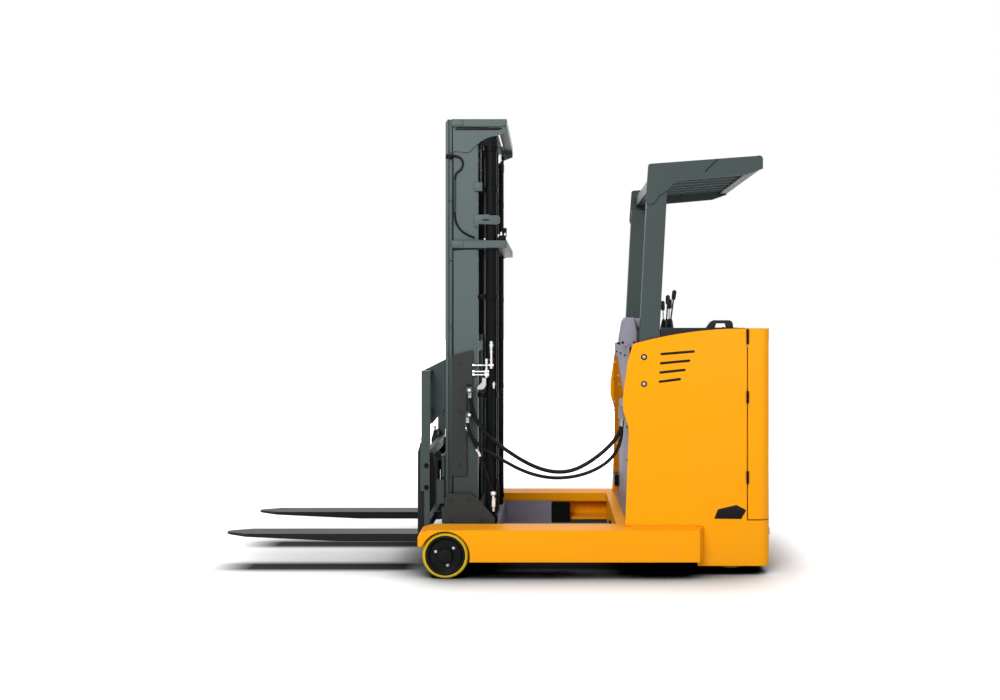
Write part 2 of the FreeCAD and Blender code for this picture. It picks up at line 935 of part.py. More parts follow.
def guard_roof():
    """Two side plates, two cross bars and lengthwise slats."""
    front = post_face - s.post_lean
    rear = body_rear + 44
    top = s.guard_height
    outline = [
        (front + 6, top - 262),
        (front + 11, top - 243),
        (front - 2, top - 60),
        Arc((front - 16, top - 45), -4),
        (rear + 30, top - 2),
        Arc((rear, top - 18), -9),
        (rear, top - 72),
        (rear + 95, top - 105),
        (front - 160, top - 138),
        (front - 134, top - 155),
        Arc((front - 62, top - 218), -6),
        (front - 35, top - 258),
        Arc((front - 20, top - 268), 3),
    ]
    seam = plate(
        "XZ",
        (-post_outside - s.guard_plate - 1, post_outside + s.guard_plate + 1),
        [
            (rear + 317, top - 88),
            (rear + 247, top - 18),
            (rear + 243, top - 22),
            (rear + 313, top - 92),
        ],
    )
    parts = []
    for side in SIDES.values():
        plates = plate("XZ", both(side, post_outside, post_outside + s.guard_plate), outline)
        parts.append(cut(plates, seam))
    half = post_outside
    parts.append(box((front - 84, front - 31), (-half, half), (top - 150, top - 90)))
    parts.append(box((rear + 4, rear + 52), (-half, half), (top - 68, top - 12)))
    for index in range(9):
        y = -400 + 100 * index
        parts.append(
            plate(
                "XZ",
                (y - s.slat / 2, y + s.slat / 2),
                [
                    (front - 72, top - 96),
                    (front - 72, top - 96 + s.slat_depth),
                    (rear + 40, top - 60 + s.slat_depth),
                    (rear + 40, top - 60),
                ],
            )
        )
    return fuse(*parts)


for name, side in SIDES.items():
    sub_part(f"guard_post_{name}", guard_post(side))
sub_part("guard_roof", guard_roof())

# ---------------------------------------------------------------- drive unit and caster


def drive_unit():
    """Motor and gearbox on a turntable; the gearbox's leg carries the wheel's axle."""
    x, y = drive_axle_x, drive_offset
    plate_z = s.mount_plate_z
    wheel_low = y - s.drive_wheel_width / 2
    leg_high = wheel_low - s.run_gap
    axle_z = s.drive_wheel / 2
    return fuse(
        bar("z", (x, y, s.drive_wheel + 10), plate_z - s.seat_gap - s.drive_wheel - 10, s.turntable),
        bar("z", (x, y, plate_z - s.seat_gap), s.mount_plate + s.seat_gap * 2, s.drive_motor),
        bar("z", (x, y, plate_z + s.mount_plate + s.seat_gap), 20, s.turntable),
        bar("z", (x, y, plate_z + s.mount_plate + 20), s.drive_motor_top - plate_z - s.mount_plate - 20,
            s.drive_motor),
        box((x - 60, x + 60), (leg_high - 62, leg_high), (axle_z - 70, s.drive_wheel + 20)),
        bar("y", (x, leg_high - 10, axle_z), s.drive_wheel_width + s.run_gap + 2, s.drive_axle),
    )


def drive_hub():
    low = drive_offset - s.drive_wheel_width / 2
    axle_z = s.drive_wheel / 2
    return cut(
        bar("y", (drive_axle_x, low + 3, axle_z), s.drive_wheel_width - 6, s.drive_rim),
        bar("y", (drive_axle_x, low - 1, axle_z), s.drive_wheel_width + 2, s.drive_axle + s.pin_gap * 2),
    )


sub_part("drive_unit", drive_unit())
sub_part("drive_hub", drive_hub())
sub_part(
    "drive_tyre",
    tyre(
        (drive_axle_x, s.drive_wheel / 2),
        drive_offset - s.drive_wheel_width / 2,
        s.drive_wheel_width,
        s.drive_wheel,
        s.drive_rim,
        12,
    ),
)

caster_x = drive_axle_x - s.caster_trail
caster_y = -caster_offset


def caster_fork():
    """A swivel plate and pin over a stem, which holds the axle between the twin wheels."""
    plate_top = s.caster_plate_z - s.seat_gap
    stem = 24
    span = s.caster_tread * 2 + stem + s.run_gap * 2
    return fuse(
        bar("z", (drive_axle_x, caster_y, plate_top - 14), 14, 150),
        bar("z", (drive_axle_x, caster_y, plate_top - 1), 34, s.caster_pin),
        plate(
            "XZ",
            (caster_y - stem / 2, caster_y + stem / 2),
            [
                (drive_axle_x - 60, plate_top - 5),
                (caster_x - 30, s.caster_wheel / 2 - 15),
                (caster_x + 30, s.caster_wheel / 2 - 15),
                (drive_axle_x + 60, plate_top - 5),
            ],
        ),
        bar("y", (caster_x, caster_y - span / 2, s.caster_wheel / 2), span, s.caster_axle),
    )


def caster_wheels():
    """The twin wheels: two hubs and two tyres."""
    axle_z = s.caster_wheel / 2
    hubs, tyres = [], []
    for side in SIDES.values():
        offset = s.run_gap + 12
        low = caster_y + offset if side > 0 else caster_y - offset - s.caster_tread
        hubs.append(
            cut(
                bar("y", (caster_x, low + 2, axle_z), s.caster_tread - 4, s.caster_rim),
                bar("y", (caster_x, low - 1, axle_z), s.caster_tread + 2, s.caster_axle + s.pin_gap * 2),
            )
        )
        tyres.append(tyre((caster_x, axle_z), low, s.caster_tread, s.caster_wheel, s.caster_rim, 6))
    sub_part("caster_hubs", fuse(*hubs))
    sub_part("caster_tyres", fuse(*tyres))


sub_part("caster_fork", caster_fork())
caster_wheels()

# ---------------------------------------------------------------- reach carriage and its cylinder

roller_front_x = mast_back - 52
roller_z = (s.rail_floor + s.rail_ceiling) / 2


def reach_carriage():
    """Side plates with rollers in the legs' rails, and the beam that carries the mast."""
    rear = carriage_rear
    parts = [
        box(
            (mast_back - s.beam_depth, mast_back),
            (-carriage_side, carriage_side),
            (s.carriage_bottom + 11, s.carriage_top - 1),
        )
    ]
    outside = carriage_side + s.carriage_plate
    for side in SIDES.values():
        parts.append(
            box((rear, mast_back + 100), both(side, carriage_side, outside), (s.carriage_bottom, s.carriage_top))
        )
        for x in (roller_front_x, roller_front_x - s.roller_spacing):
            start = outside if side > 0 else -outside - 16
            parts.append(bar("y", (x, start, roller_z), 16, 40))
    return fuse(*parts)


def carriage_rollers():
    parts = []
    outside = carriage_side + s.carriage_plate + 16
    for side in SIDES.values():
        for x in (roller_front_x, roller_front_x - s.roller_spacing):
            start = outside if side > 0 else -outside - s.roller_width
            parts.append(bar("y", (x, start, roller_z), s.roller_width, s.roller))
        parts.append(
            plate(
                "XZ",
                both(side, carriage_side - 5, carriage_side + s.carriage_plate),
                [
                    (carriage_rear - s.slider_length, s.carriage_bottom + 6),
                    (carriage_rear - s.slider_length, s.carriage_top - 20),
                    (carriage_rear - s.slider_length + 14, s.carriage_top - 6),
                    (carriage_rear - 14, s.carriage_top - 6),
                    (carriage_rear, s.carriage_top - 20),
                    (carriage_rear, s.carriage_bottom + 6),
                ],
            )
        )
    return fuse(*parts)


def reach_cylinder():
    """The barrel in the frame, long enough for the whole stroke."""
    front = wall_front + s.cross_depth + 10
    long = s.reach_stroke + 110
    barrel = bar("x", (front - long, 0, s.reach_z), long, s.reach_barrel)
    bore = bar("x", (front - long + 15, 0, s.reach_z), long, s.reach_rod + 2)
    return cut(barrel, bore)


def reach_rod():
    rear = wall_front + s.cross_depth - 60
    return bar("x", (rear, 0, s.reach_z), mast_back - s.beam_depth - rear, s.reach_rod)


sub_part("reach_carriage", reach_carriage())
sub_part("carriage_rollers", carriage_rollers())
sub_part("reach_cylinder", reach_cylinder())
sub_part("reach_rod", reach_rod())

# ---------------------------------------------------------------- outer mast


def channel(side, outside, depth, back, flange, width, web, setback, z):
    """A mast rail: a web, a rear flange level with it and a front flange that stands out from it."""
    inside = size(outside) - width
    webs = both(side, size(outside) - setback - web, size(outside) - setback)
    return [
        box((back, back + flange), both(side, inside, size(outside) - setback), z),
        box((back + depth - flange, back + depth), both(side, inside, outside), z),
        box((back + flange, back + depth - flange), webs, z),
    ]


def tie(low, high):
    """A tie behind the mast, its arms along the outside of both webs."""
    rear = mast_back - s.tie_reach
    front = mast_face - 34
    parts = [box((rear, rear + s.tie_depth), (-mast_half, mast_half), (low, high))]
    for side in SIDES.values():
        parts.append(box((rear, front), both(side, web_outside, mast_half), (low, high)))
    return parts


def top_gusset(side):
    """A plate below the top tie, outside the web, swept up to the tie's rear."""
    low, rear = s.mast_top - s.tie_height, mast_back - s.tie_reach
    return plate(
        "XZ",
        both(side, web_outside, web_outside + 6),
        [
            (mast_face - 41, low),
            (mast_face - 41, low - 137),
            (mast_back + 52, low - 144),
            (mast_back + 23, low - 120),
            Arc((mast_back - 104, low - 52), -14),
            (rear, low - 30),
            (rear, low),
        ],
    )


def outer_mast():
    parts = []
    for side in SIDES.values():
        parts += channel(
            side, mast_half, s.mast_depth, mast_back, s.flange, s.flange_width, s.web, s.web_setback,
            (s.mast_bottom, s.mast_top),
        )
        anchor_y = both(side, pulley_offset - 15, pulley_offset + 15)
        rear = mast_back - s.tie_reach
        parts.append(box((rear, chain_rear_x + 8), anchor_y, (s.lower_tie_z, s.lower_tie_z + s.tie_height)))
        parts.append(top_gusset(side))
    parts += tie(s.mast_top - s.tie_height, s.mast_top)
    parts += tie(s.lower_tie_z, s.lower_tie_z + s.tie_height)
    parts.append(
        box((mast_back, mast_back + s.flange), (-flange_inside, flange_inside), (s.mast_bottom, 300))
    )
    for rear, z in ((40, s.hose_clamp_low), (25, s.hose_clamp_high)):
        parts.append(box((mast_back + rear, mast_back + 58), (web_outside - 1, 434), (z, z + 30)))
    corner = plate(
        "XZ",
        (-mast_half - 1, mast_half + 1),
        [(mast_face - 14, s.mast_top + 1), (mast_face + 1, s.mast_top + 1), (mast_face + 1, s.mast_top - 22)],
    )
    return cut(fuse(*parts), corner)


pulley_x = mast_face - s.pulley_x
chain_front_x = pulley_x + s.pulley / 2
chain_rear_x = pulley_x - s.pulley / 2 - s.chain

sub_part("outer_mast", outer_mast())


def lift_cylinders():
    parts = []
    x = mast_back - s.cylinder_behind
    base = s.carriage_top - 1
    for side in SIDES.values():
        y = outward(side, cylinder_offset)
        barrel = bar("z", (x, y, base), s.cylinder_top - base, s.cylinder)
        parts.append(cut(barrel, bar("z", (x, y, base + 20), s.cylinder_top, s.rod + 2)))
    return fuse(*parts)


def mast_covers():
    """Shields on pads over the rails' webs, and covers over their feet."""
    parts = []
    for side in SIDES.values():
        skin = both(side, mast_half, mast_half + 5)
        parts.append(
            plate(
                "XZ",
                skin,
                [
                    (mast_face - 36, 520),
                    (mast_face - 36, 1185),
                    (mast_face - 151, 1217),
                    (mast_face - 151, 1025),
                    (mast_face - 117, 1025),
                    (mast_face - 117, 520),
                ],
            )
        )
        for z in (560, 860, 1120):
            parts.append(box((mast_back + 58, mast_face - 50), both(side, web_outside, mast_half), (z, z + 40)))
        foot = both(side, mast_half, mast_half + 14)
        parts.append(
            plate(
                "XZ",
                foot,
                [
                    (mast_face + 4, 220),
                    (mast_face + 4, 395),
                    (mast_face - 18, 422),
                    (mast_face - 146, 422),
                    (mast_back - 68, 322),
                    (mast_back - 96, 283),
                    (mast_back - 96, 220),
                ],
            )
        )
    return fuse(*parts)


def mast_hoses():
    """Hoses that run up behind the mast, held by its ties."""
    radius = 10
    x = mast_back - s.tie_reach + s.tie_depth + radius
    parts = []
    for side in SIDES.values():
        for inset in (52, 82):
            y = outward(side, cylinder_offset - inset)
            parts.append(bar("z", (x, y, 300), s.cylinder_top - 300, radius * 2))
    return fuse(*parts)


sub_part("lift_cylinders", lift_cylinders())
sub_part("mast_covers", mast_covers())
sub_part("mast_hoses", mast_hoses())


def hydraulic_pipes():
    """Bright pipes and fittings beside the left lift cylinder."""
    y = mast_half + 5
    parts = [
        bar("x", (mast_back - 80, y, 1133), mast_depth_to_shield + 80, 9),
        bar("x", (mast_back - 56, y, 1098), mast_depth_to_shield + 56, 9),
        bar("x", (mast_back - 56, y, 1080), mast_depth_to_shield + 56, 9),
        bar("z", (mast_back - 76, y, 1120), 120, 14),
        bar("z", (mast_back - 50, y, 1070), 100, 12),
    ]
    return fuse(*parts)


mast_depth_to_shield = size(27)
sub_part("hydraulic_pipes", hydraulic_pipes())

# ---------------------------------------------------------------- inner mast

inner_back = mast_back + s.flange + s.run_gap
inner_depth = s.mast_depth - (s.flange + s.run_gap) * 2


def inner_mast():
    """Inner rails, their ties, the crosshead over the lift rods and the chain pulleys' pins."""
    parts = []
    rod_x = mast_back - s.cylinder_behind
    head = (s.inner_top - s.tie_height, s.inner_top)
    half = web_outside - s.run_gap - 3
    for side in SIDES.values():
        parts += channel(
            side, inner_half, inner_depth, inner_back, s.inner_flange, s.flange_width, s.inner_web,
            s.inner_web_setback, (s.inner_bottom, s.inner_top),
        )
        parts.append(box((rod_x + 30, inner_back + s.inner_flange), both(side, inner_flange_inside,
                                                                      inner_flange_inside + 22), head))
        start = inner_flange_inside if side > 0 else -inner_flange_inside
        reach = inner_flange_inside - pulley_offset + s.pulley_width / 2 + 2
        seat = 10
        pin_low = start - reach if side > 0 else start - seat
        parts.append(bar("y", (pulley_x, pin_low, s.pulley_z), reach + seat, s.pulley_pin))
    parts.append(box((rod_x - 24, rod_x + 30), (-half, half), head))
    tie_x = (inner_back, inner_back + s.inner_flange)
    for low, high in ((s.inner_bottom, 260), (1200, 1260), (2255, 2335)):
        parts.append(box(tie_x, (-inner_flange_inside, inner_flange_inside), (low, high)))
    return fuse(*parts)


def lift_rods():
    x = mast_back - s.cylinder_behind
    low = s.carriage_top + 85
    top = s.inner_top - s.tie_height
    return fuse(
        *[bar("z", (x, outward(side, cylinder_offset), low), top - low, s.rod) for side in SIDES.values()]
    )


def chain_pulleys():
    parts = []
    for side in SIDES.values():
        low = outward(side, pulley_offset) - s.pulley_width / 2
        wheel = bar("y", (pulley_x, low, s.pulley_z), s.pulley_width, s.pulley)
        bore = bar("y", (pulley_x, low - 1, s.pulley_z), s.pulley_width + 2, s.pulley_pin + s.pin_gap * 2)
        parts.append(cut(wheel, bore))
    return fuse(*parts)


def chain_run(x, low, high):
    """One straight run of both lift chains."""
    parts = []
    for side in SIDES.values():
        y = both(side, pulley_offset - s.chain_width / 2, pulley_offset + s.chain_width / 2)
        parts.append(box((x, x + s.chain), y, (low, high)))
    return fuse(*parts)


sub_part("inner_mast", inner_mast())
sub_part("lift_rods", lift_rods())
sub_part("chain_pulleys", chain_pulleys())
sub_part("chain_front", chain_run(chain_front_x, s.anchor_z + 10, s.pulley_z))
sub_part("chain_rear", chain_run(chain_rear_x, s.lower_tie_z + s.tie_height, s.pulley_z))

# ---------------------------------------------------------------- lift carriage

tilt_x = mast_face + s.tilt_pivot_x
lift_roller_x = inner_back + inner_depth / 2
lift_outside = lift_side + s.lift_plate


def lift_carriage():
    """Side plates with rollers in the inner rails, two cross plates and the lugs for the fork frame."""
    parts = []
    back = lift_face - 158
    plate_x = (lift_face - 15, lift_face)
    for side in SIDES.values():
        sides = both(side, lift_side, lift_outside)
        parts.append(box((back, lift_face), sides, (s.lift_bottom, s.lift_top)))
        for z in (s.lift_bottom + 47, 500):
            start = lift_outside if side > 0 else -lift_outside - 8
            parts.append(bar("y", (lift_roller_x, start, z), 8, 40))
        parts.append(
            box((chain_front_x - 4, lift_face - 15), both(side, pulley_offset - 15, lift_side),
                (s.anchor_z - 10, s.anchor_z + 10))
        )
        parts.append(
            box((lift_face, tilt_x + 16), both(side, 150, 165), (s.tilt_pivot_z - 25, s.tilt_pivot_z + 25))
        )
        start = 160 if side > 0 else -190
        parts.append(bar("y", (tilt_x, start, s.tilt_pivot_z), 30, s.tilt_pin))
        parts.append(box((lift_face - 15, lift_face + 34), both(side, lift_outside - 1, lift_outside + 43), (350, 480)))
        parts.append(box((lift_face, lift_face + 34), both(side, lift_side - 35, lift_outside), (395, 435)))
    half = lift_outside + 38
    parts.append(box(plate_x, (-half, half), (190, 330)))
    upper = box(plate_x, (-half, half), (500, s.lift_top))
    parts.append(cut(upper, bar("x", (plate_x[0] - 1, 0, s.tilt_rod_z), 20, 50)))
    return fuse(*parts)


def lift_rollers():
    parts = []
    for side in SIDES.values():
        for z in (s.lift_bottom + 47, 500):
            start = lift_outside + 8 if side > 0 else -lift_outside - 8 - 32
            parts.append(bar("y", (lift_roller_x, start, z), 32, s.lift_roller))
    return fuse(*parts)


def tilt_cylinder():
    barrel = bar("x", (lift_face - 120, 0, s.tilt_rod_z), 112, 50)
    return cut(barrel, bar("x", (lift_face - 108, 0, s.tilt_rod_z), 200, 27))


def tilt_rod():
    eye_x = tilt_x + 15
    return cut(
        fuse(
            bar("x", (lift_face - 50, 0, s.tilt_rod_z), eye_x - 13 - lift_face + 50, 25),
            bar("y", (eye_x, -9, s.tilt_rod_z), 18, 38),
        ),
        bar("y", (eye_x, -10, s.tilt_rod_z), 20, 22),
    )


sub_part("lift_carriage", lift_carriage())
sub_part("lift_rollers", lift_rollers())
sub_part("tilt_cylinder", tilt_cylinder())
sub_part("tilt_rod", tilt_rod())

# ---------------------------------------------------------------- fork frame, forks and backrest


def fork_frame():
    """Two bars and two side plates, with lugs for the tilt pins and for the tilt rod's eye."""
    bars = (frame_back, frame_face)
    half = s.frame_half
    parts = [
        box(bars, (-half, half), (210, 260)),
        box(bars, (-half, half), (600, 655)),
    ]
    for side in SIDES.values():
        sides = both(side, half - s.frame_side, half)
        parts.append(box((frame_back, frame_face + 22), sides, (430, 690)))
        parts.append(box(bars, sides, (210, 430)))
        lug = cut(
            fuse(
                bar("y", (tilt_x, 170 if side > 0 else -185, s.tilt_pivot_z), 15, 44),
                box((tilt_x, frame_back), both(side, 170, 185), (s.tilt_pivot_z - 22, s.tilt_pivot_z + 22)),
            ),
            bar("y", (tilt_x, 165 if side > 0 else -190, s.tilt_pivot_z), 25, s.tilt_pin + s.pin_gap * 2),
        )
        parts.append(lug)
        parts.append(
            plate(
                "XZ",
                both(side, 14, 24),
                [
                    (tilt_x + 4, s.tilt_rod_z - 14),
                    (tilt_x + 4, s.tilt_rod_z + 14),
                    (frame_back, 601),
                    (frame_face, 601),
                    (frame_face, s.tilt_rod_z - 14),
                ],
            )
        )
    parts.append(bar("y", (tilt_x + 15, -20, s.tilt_rod_z), 40, 16))
    return fuse(*parts)


def fork(side):
    """A fork: its shank against the bars, its blade thinning and narrowing to the tip."""
    low = s.fork_underside
    top = low + s.fork_thickness
    profile = plate(
        "XZ",
        both(side, s.fork_centre - s.fork_width / 2, s.fork_centre + s.fork_width / 2),
        [
            (shank_back, low),
            (shank_back, s.shank_top),
            (fork_face - 12, s.shank_top),
            (fork_face, s.shank_top - 40),
            (fork_face, top),
            (fork_tip, top),
            (fork_tip, top - s.fork_tip_thickness),
            (fork_tip - s.fork_taper, low),
        ],
    )
    wide, narrow = s.fork_width / 2, s.fork_tip_width / 2
    middle = outward(side, s.fork_centre)
    plan = plate(
        "XY",
        (low - 1, s.shank_top + 1),
        [
            (shank_back - 1, middle - wide),
            (fork_tip - 120, middle - wide),
            (fork_tip - 20, middle - narrow),
            (fork_tip, middle - narrow + 15),
            (fork_tip, middle + narrow - 15),
            (fork_tip - 20, middle + narrow),
            (fork_tip - 120, middle + wide),
            (shank_back - 1, middle + wide),
        ],
    )
    return common(profile, plan)


def load_backrest():
    """Uprights on the fork frame's sides, a top that slopes back, gussets and vertical bars."""
    half = s.frame_half
    front = frame_face + 16
    back = frame_back - 3
    low = size(690)
    top = s.backrest_top
    parts = [
        box((back, back + 20), (-half, half), (low + 150, low + 190)),
        box((back, front), (-half, half), (top - 30, top)),
    ]
    for side in SIDES.values():
        parts.append(box((back, front), both(side, half - s.frame_side, half), (low, top)))
        parts.append(
            plate(
                "XZ",
                both(side, 240, 250),
                [
                    (back, low + 108),
                    (mast_face + 18, low + 193),
                    (mast_face + 18, s.backrest_peak),
                    (front, top),
                    (back + 20, top - 30),
                    (back + 20, low + 98),
                ],
            )
        )
    parts.append(
        plate(
            "XZ",
            (-250, 250),
            [
                (mast_face + 18, s.backrest_peak - 6),
                (mast_face + 18, s.backrest_peak),
                (front, top),
                (front - 8, top - 4),
            ],
        )
    )
    for y in (-120, 0, 120):
        parts.append(box((back, back + 20), (y - 8, y + 8), (low + 150, top)))
    return fuse(*parts)


sub_part("fork_frame", fork_frame())
for name, side in SIDES.items():
    sub_part(f"fork_{name}", fork(side))
sub_part("load_backrest", load_backrest())

# ---------------------------------------------------------------- hanging hoses


def hose(node, route):
    """A hose: straight runs joined by arcs as large as the runs allow."""
    points = [Vector(*p) for p in route]
    edges, start = [], points[0]
    radii = []
    for before, corner, after in zip(points, points[1:], points[2:]):
        into, out = corner - before, after - corner
        turn = into.getAngle(out)
        reach = 0.45 * min(into.Length, out.Length)
        radii.append(reach / math.tan(turn / 2))
        into.normalize()
        out.normalize()
        first, last = corner - into * reach, corner + out * reach
        bend = out - into
        bend.normalize()
        depth = radii[-1] / math.cos(turn / 2) - radii[-1]
        edges.append(Part.LineSegment(start, first).toShape())
        edges.append(Part.Arc(first, corner + bend * depth, last).toShape())
        start = last
    edges.append(Part.LineSegment(start, points[-1]).toShape())
    path = Part.Wire(edges)
    radius = s.hose.number / 2
    ring = Part.Wire(Part.Circle(points[0], points[1] - points[0], radius).toShape())
    pipe = Part.BRepOffsetAPI.MakePipeShell(path)
    pipe.add(ring)
    pipe.build()
    pipe.makeSolid()
    item = DOC.addObject("Part::Feature", "Hose")
    item.Shape = pipe.shape()
    section = math.pi * radius**2 * path.Length
    print(f"{node}: length {path.Length:.0f}, volume {item.Shape.Volume / section:.4f} of its section's,",
          "radii", [round(r) for r in radii])
    sub_part(node, item)


UPPER_ROUTE = [
    (132, 985), (132, 935), (117, 870), (82, 806), (34, 748), (-24, 697), (-95, 646), (-175, 597),
    (-262, 558), (-352, 541), (-440, 552), (-522, 594), (-592, 645), (-645, 694), (-684, 742), (-705, 793),
    (-705, 843),
]  # fmt: skip
LOWER_ROUTE = [
    (142, 850), (142, 800), (130, 752), (98, 712), (50, 674), (-5, 640), (-70, 603), (-145, 562), (-235, 530),
    (-320, 516), (-405, 518), (-488, 534), (-565, 564), (-632, 608), (-676, 662), (-699, 720),
    (-705, 785), (-705, 843),
]  # fmt: skip

hose("hose_upper_inner", [(x, 381, z) for x, z in UPPER_ROUTE])
hose("hose_upper_outer", [(x, 401, z) for x, z in UPPER_ROUTE])
hose("hose_lower", [(x, 421, z) for x, z in LOWER_ROUTE])

# ---------------------------------------------------------------- checks and files

DOC.recompute()
for item in DOC.Objects:
    if any(word in item.State for word in ("Invalid", "Error")):
        raise RuntimeError(f"{item.Label} ({item.Name}) failed: {item.State}")
for item in NODES:
    if item.Shape.isNull() or not item.Shape.isValid() or not item.Shape.Solids:
        raise RuntimeError(f"{item.Label} has no valid solid")

os.makedirs("parts", exist_ok=True)
for item in NODES:
    item.Shape.exportStep(os.path.join("parts", f"{item.Label}.step"))
print(f"{len(NODES)} sub-parts written")
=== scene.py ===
"""Stand-up reach truck: finishes and fine detail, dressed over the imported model's frame.

Every place comes from the frame's own boxes, in metres: +X forward over the forks, +Y to the operator's
left, +Z up. The pieces ride on the frame's bodies, so that they follow its joints.
"""

from __future__ import annotations

import json
import logging
import math
from collections.abc import Iterable, Sequence
from dataclasses import dataclass
from enum import Enum

import bmesh
import bpy
from bpy.types import Material, Mesh, Node, NodeSocket, NodeTree, Object, bpy_prop_collection
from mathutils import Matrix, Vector

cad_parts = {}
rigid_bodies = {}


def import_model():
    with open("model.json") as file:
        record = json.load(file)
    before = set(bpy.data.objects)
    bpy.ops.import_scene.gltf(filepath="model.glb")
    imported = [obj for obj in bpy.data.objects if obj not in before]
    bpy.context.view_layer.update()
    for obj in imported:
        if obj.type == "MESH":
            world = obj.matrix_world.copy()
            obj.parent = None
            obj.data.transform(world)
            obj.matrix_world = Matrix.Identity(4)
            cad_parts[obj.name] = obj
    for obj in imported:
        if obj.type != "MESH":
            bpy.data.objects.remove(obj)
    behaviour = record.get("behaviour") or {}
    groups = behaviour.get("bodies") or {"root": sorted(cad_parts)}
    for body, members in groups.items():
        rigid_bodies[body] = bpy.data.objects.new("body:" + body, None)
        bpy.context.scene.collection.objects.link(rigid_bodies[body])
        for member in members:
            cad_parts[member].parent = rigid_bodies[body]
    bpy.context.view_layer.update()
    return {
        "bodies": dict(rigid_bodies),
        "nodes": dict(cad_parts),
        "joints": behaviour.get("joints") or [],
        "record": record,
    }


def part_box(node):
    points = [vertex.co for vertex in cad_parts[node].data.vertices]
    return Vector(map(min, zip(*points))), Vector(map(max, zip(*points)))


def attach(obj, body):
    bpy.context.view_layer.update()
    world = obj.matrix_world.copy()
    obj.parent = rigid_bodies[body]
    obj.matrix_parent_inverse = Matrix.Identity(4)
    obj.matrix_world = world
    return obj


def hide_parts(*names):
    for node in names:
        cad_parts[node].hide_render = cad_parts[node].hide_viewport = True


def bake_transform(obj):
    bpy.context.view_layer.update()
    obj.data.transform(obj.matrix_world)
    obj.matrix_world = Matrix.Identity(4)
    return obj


LOG = logging.getLogger("reach_truck")
Point = tuple[float, float, float]
Flat = tuple[float, float]
Triple = Sequence[float]
Colour = tuple[float, float, float]
SIDES = {"left": 1.0, "right": -1.0}
AHEAD, ASIDE, UP = (1, 0, 0), (0, 1, 0), (0, 0, 1)
NUMBER, VECTOR = "NodeSocketFloat", "NodeSocketVector"
WHITE = (1.0, 1.0, 1.0, 1.0)
HEXAGON = 6
ROUND_HEAD = 16
GRAIN_HEIGHT = 0.0006
SHARP_ANGLE = math.radians(32)


class Body(str, Enum):
    """The frame's bodies that the scene's pieces ride on."""

    CHASSIS = "chassis"
    DOOR = "rear_door"
    STEERING = "steering_wheel"
    DRIVE_WHEEL = "drive_wheel"
    CASTER_WHEELS = "caster_wheels"
    LOAD_LEFT = "load_wheel_left"
    LOAD_RIGHT = "load_wheel_right"
    MAST = "mast"
    INNER = "inner_mast"
    CARRIAGE = "lift_carriage"
    FORKS = "fork_frame"


# ---- shader helpers


@dataclass
class Nodes:
    """A short way to add and link the nodes of one tree."""

    tree: NodeTree

    def add(self, kind: str, feeds: dict[str | int, object] | None = None, **settings: object) -> Node:
        """Add a node.

        Args:
            kind: its type.
            feeds: what its inputs get, each a socket or a plain value.
            settings: its own settings.

        Returns:
            The node.
        """
        node = self.tree.nodes.new(kind)
        for name, value in settings.items():
            setattr(node, name, value)
        return self.fill(node, feeds or {})

    def fill(self, node: Node, feeds: dict[str | int, object]) -> Node:
        """Feed a node's inputs.

        Args:
            node: the node.
            feeds: what its inputs get, each a socket or a plain value.

        Returns:
            The node.
        """
        for label, value in feeds.items():
            if isinstance(value, NodeSocket):
                self.link(value, node.inputs[label])
            else:
                node.inputs[label].default_value = value
        return node

    def link(self, out: NodeSocket, into: NodeSocket) -> None:
        """Link one socket to another."""
        self.tree.links.new(out, into)

    def join(self, parts: Iterable[NodeSocket], kind: str = "GeometryNodeJoinGeometry") -> NodeSocket:
        """Link several sockets into one node's first input.

        Args:
            parts: the sockets.
            kind: the node's type.

        Returns:
            The node's output.
        """
        node = self.add(kind)
        for part in parts:
            self.link(part, node.inputs[0])
        return node.outputs[0]

    def group(self, tree: NodeTree, feeds: dict[str | int, object]) -> bpy_prop_collection:
        """Add a shared group and return its outputs."""
        return self.add("ShaderNodeGroup", feeds, node_tree=tree).outputs

    def math(self, operation: str, first: object, second: object = 0.0, clamp: bool = False) -> NodeSocket:
        """Add a Math node on two sockets or numbers and return its output, clamped to 0..1 if asked."""
        node = self.add("ShaderNodeMath", {0: first, 1: second}, operation=operation, use_clamp=clamp)
        return node.outputs[0]

    def times(self, first: object, second: object, clamp: bool = False) -> NodeSocket:
        """Multiply two sockets or numbers."""
        return self.math("MULTIPLY", first, second, clamp)

    def invert(self, value: object, clamp: bool = False) -> NodeSocket:
        """Take a socket from one."""
        return self.math("SUBTRACT", 1.0, value, clamp)

    def mix(self, share: object, first: object, second: object) -> NodeSocket:
        """Mix two colours by a share, 0 for the first colour."""
        return self.add("ShaderNodeMix", {"Factor": share, 6: first, 7: second}, data_type="RGBA").outputs[2]

    def scaled(self, vector: Colour, scale: NodeSocket) -> NodeSocket:
        """Scale a plain colour by a socket."""
        return self.add("ShaderNodeVectorMath", {0: vector, "Scale": scale}, operation="SCALE").outputs[0]

    def noise(self, coordinate: NodeSocket, scale: object, detail: float, rough: float = 0.5) -> NodeSocket:
        """Add a Noise Texture and return its value."""
        feeds = {"Vector": coordinate, "Scale": scale, "Detail": detail, "Roughness": rough}
        return self.add("ShaderNodeTexNoise", feeds).outputs["Fac"]

    def ramp(self, value: NodeSocket, low: float, high: float) -> NodeSocket:
        """Stretch a value from low..high to 0..1, clamped."""
        feeds = {"Value": value, "From Min": low, "From Max": high}
        return self.add("ShaderNodeMapRange", feeds, clamp=True).outputs["Result"]

    def place(self) -> NodeSocket:
        """The place on the object."""
        return self.add("ShaderNodeTexCoord").outputs["Object"]

    def split(self, vector: NodeSocket) -> bpy_prop_collection:
        """The X, Y and Z of a vector."""
        return self.add("ShaderNodeSeparateXYZ", {0: vector}).outputs

    def upright(self, height: NodeSocket) -> NodeSocket:
        """A vector along Z."""
        return self.add("ShaderNodeCombineXYZ", {"Z": height}).outputs[0]


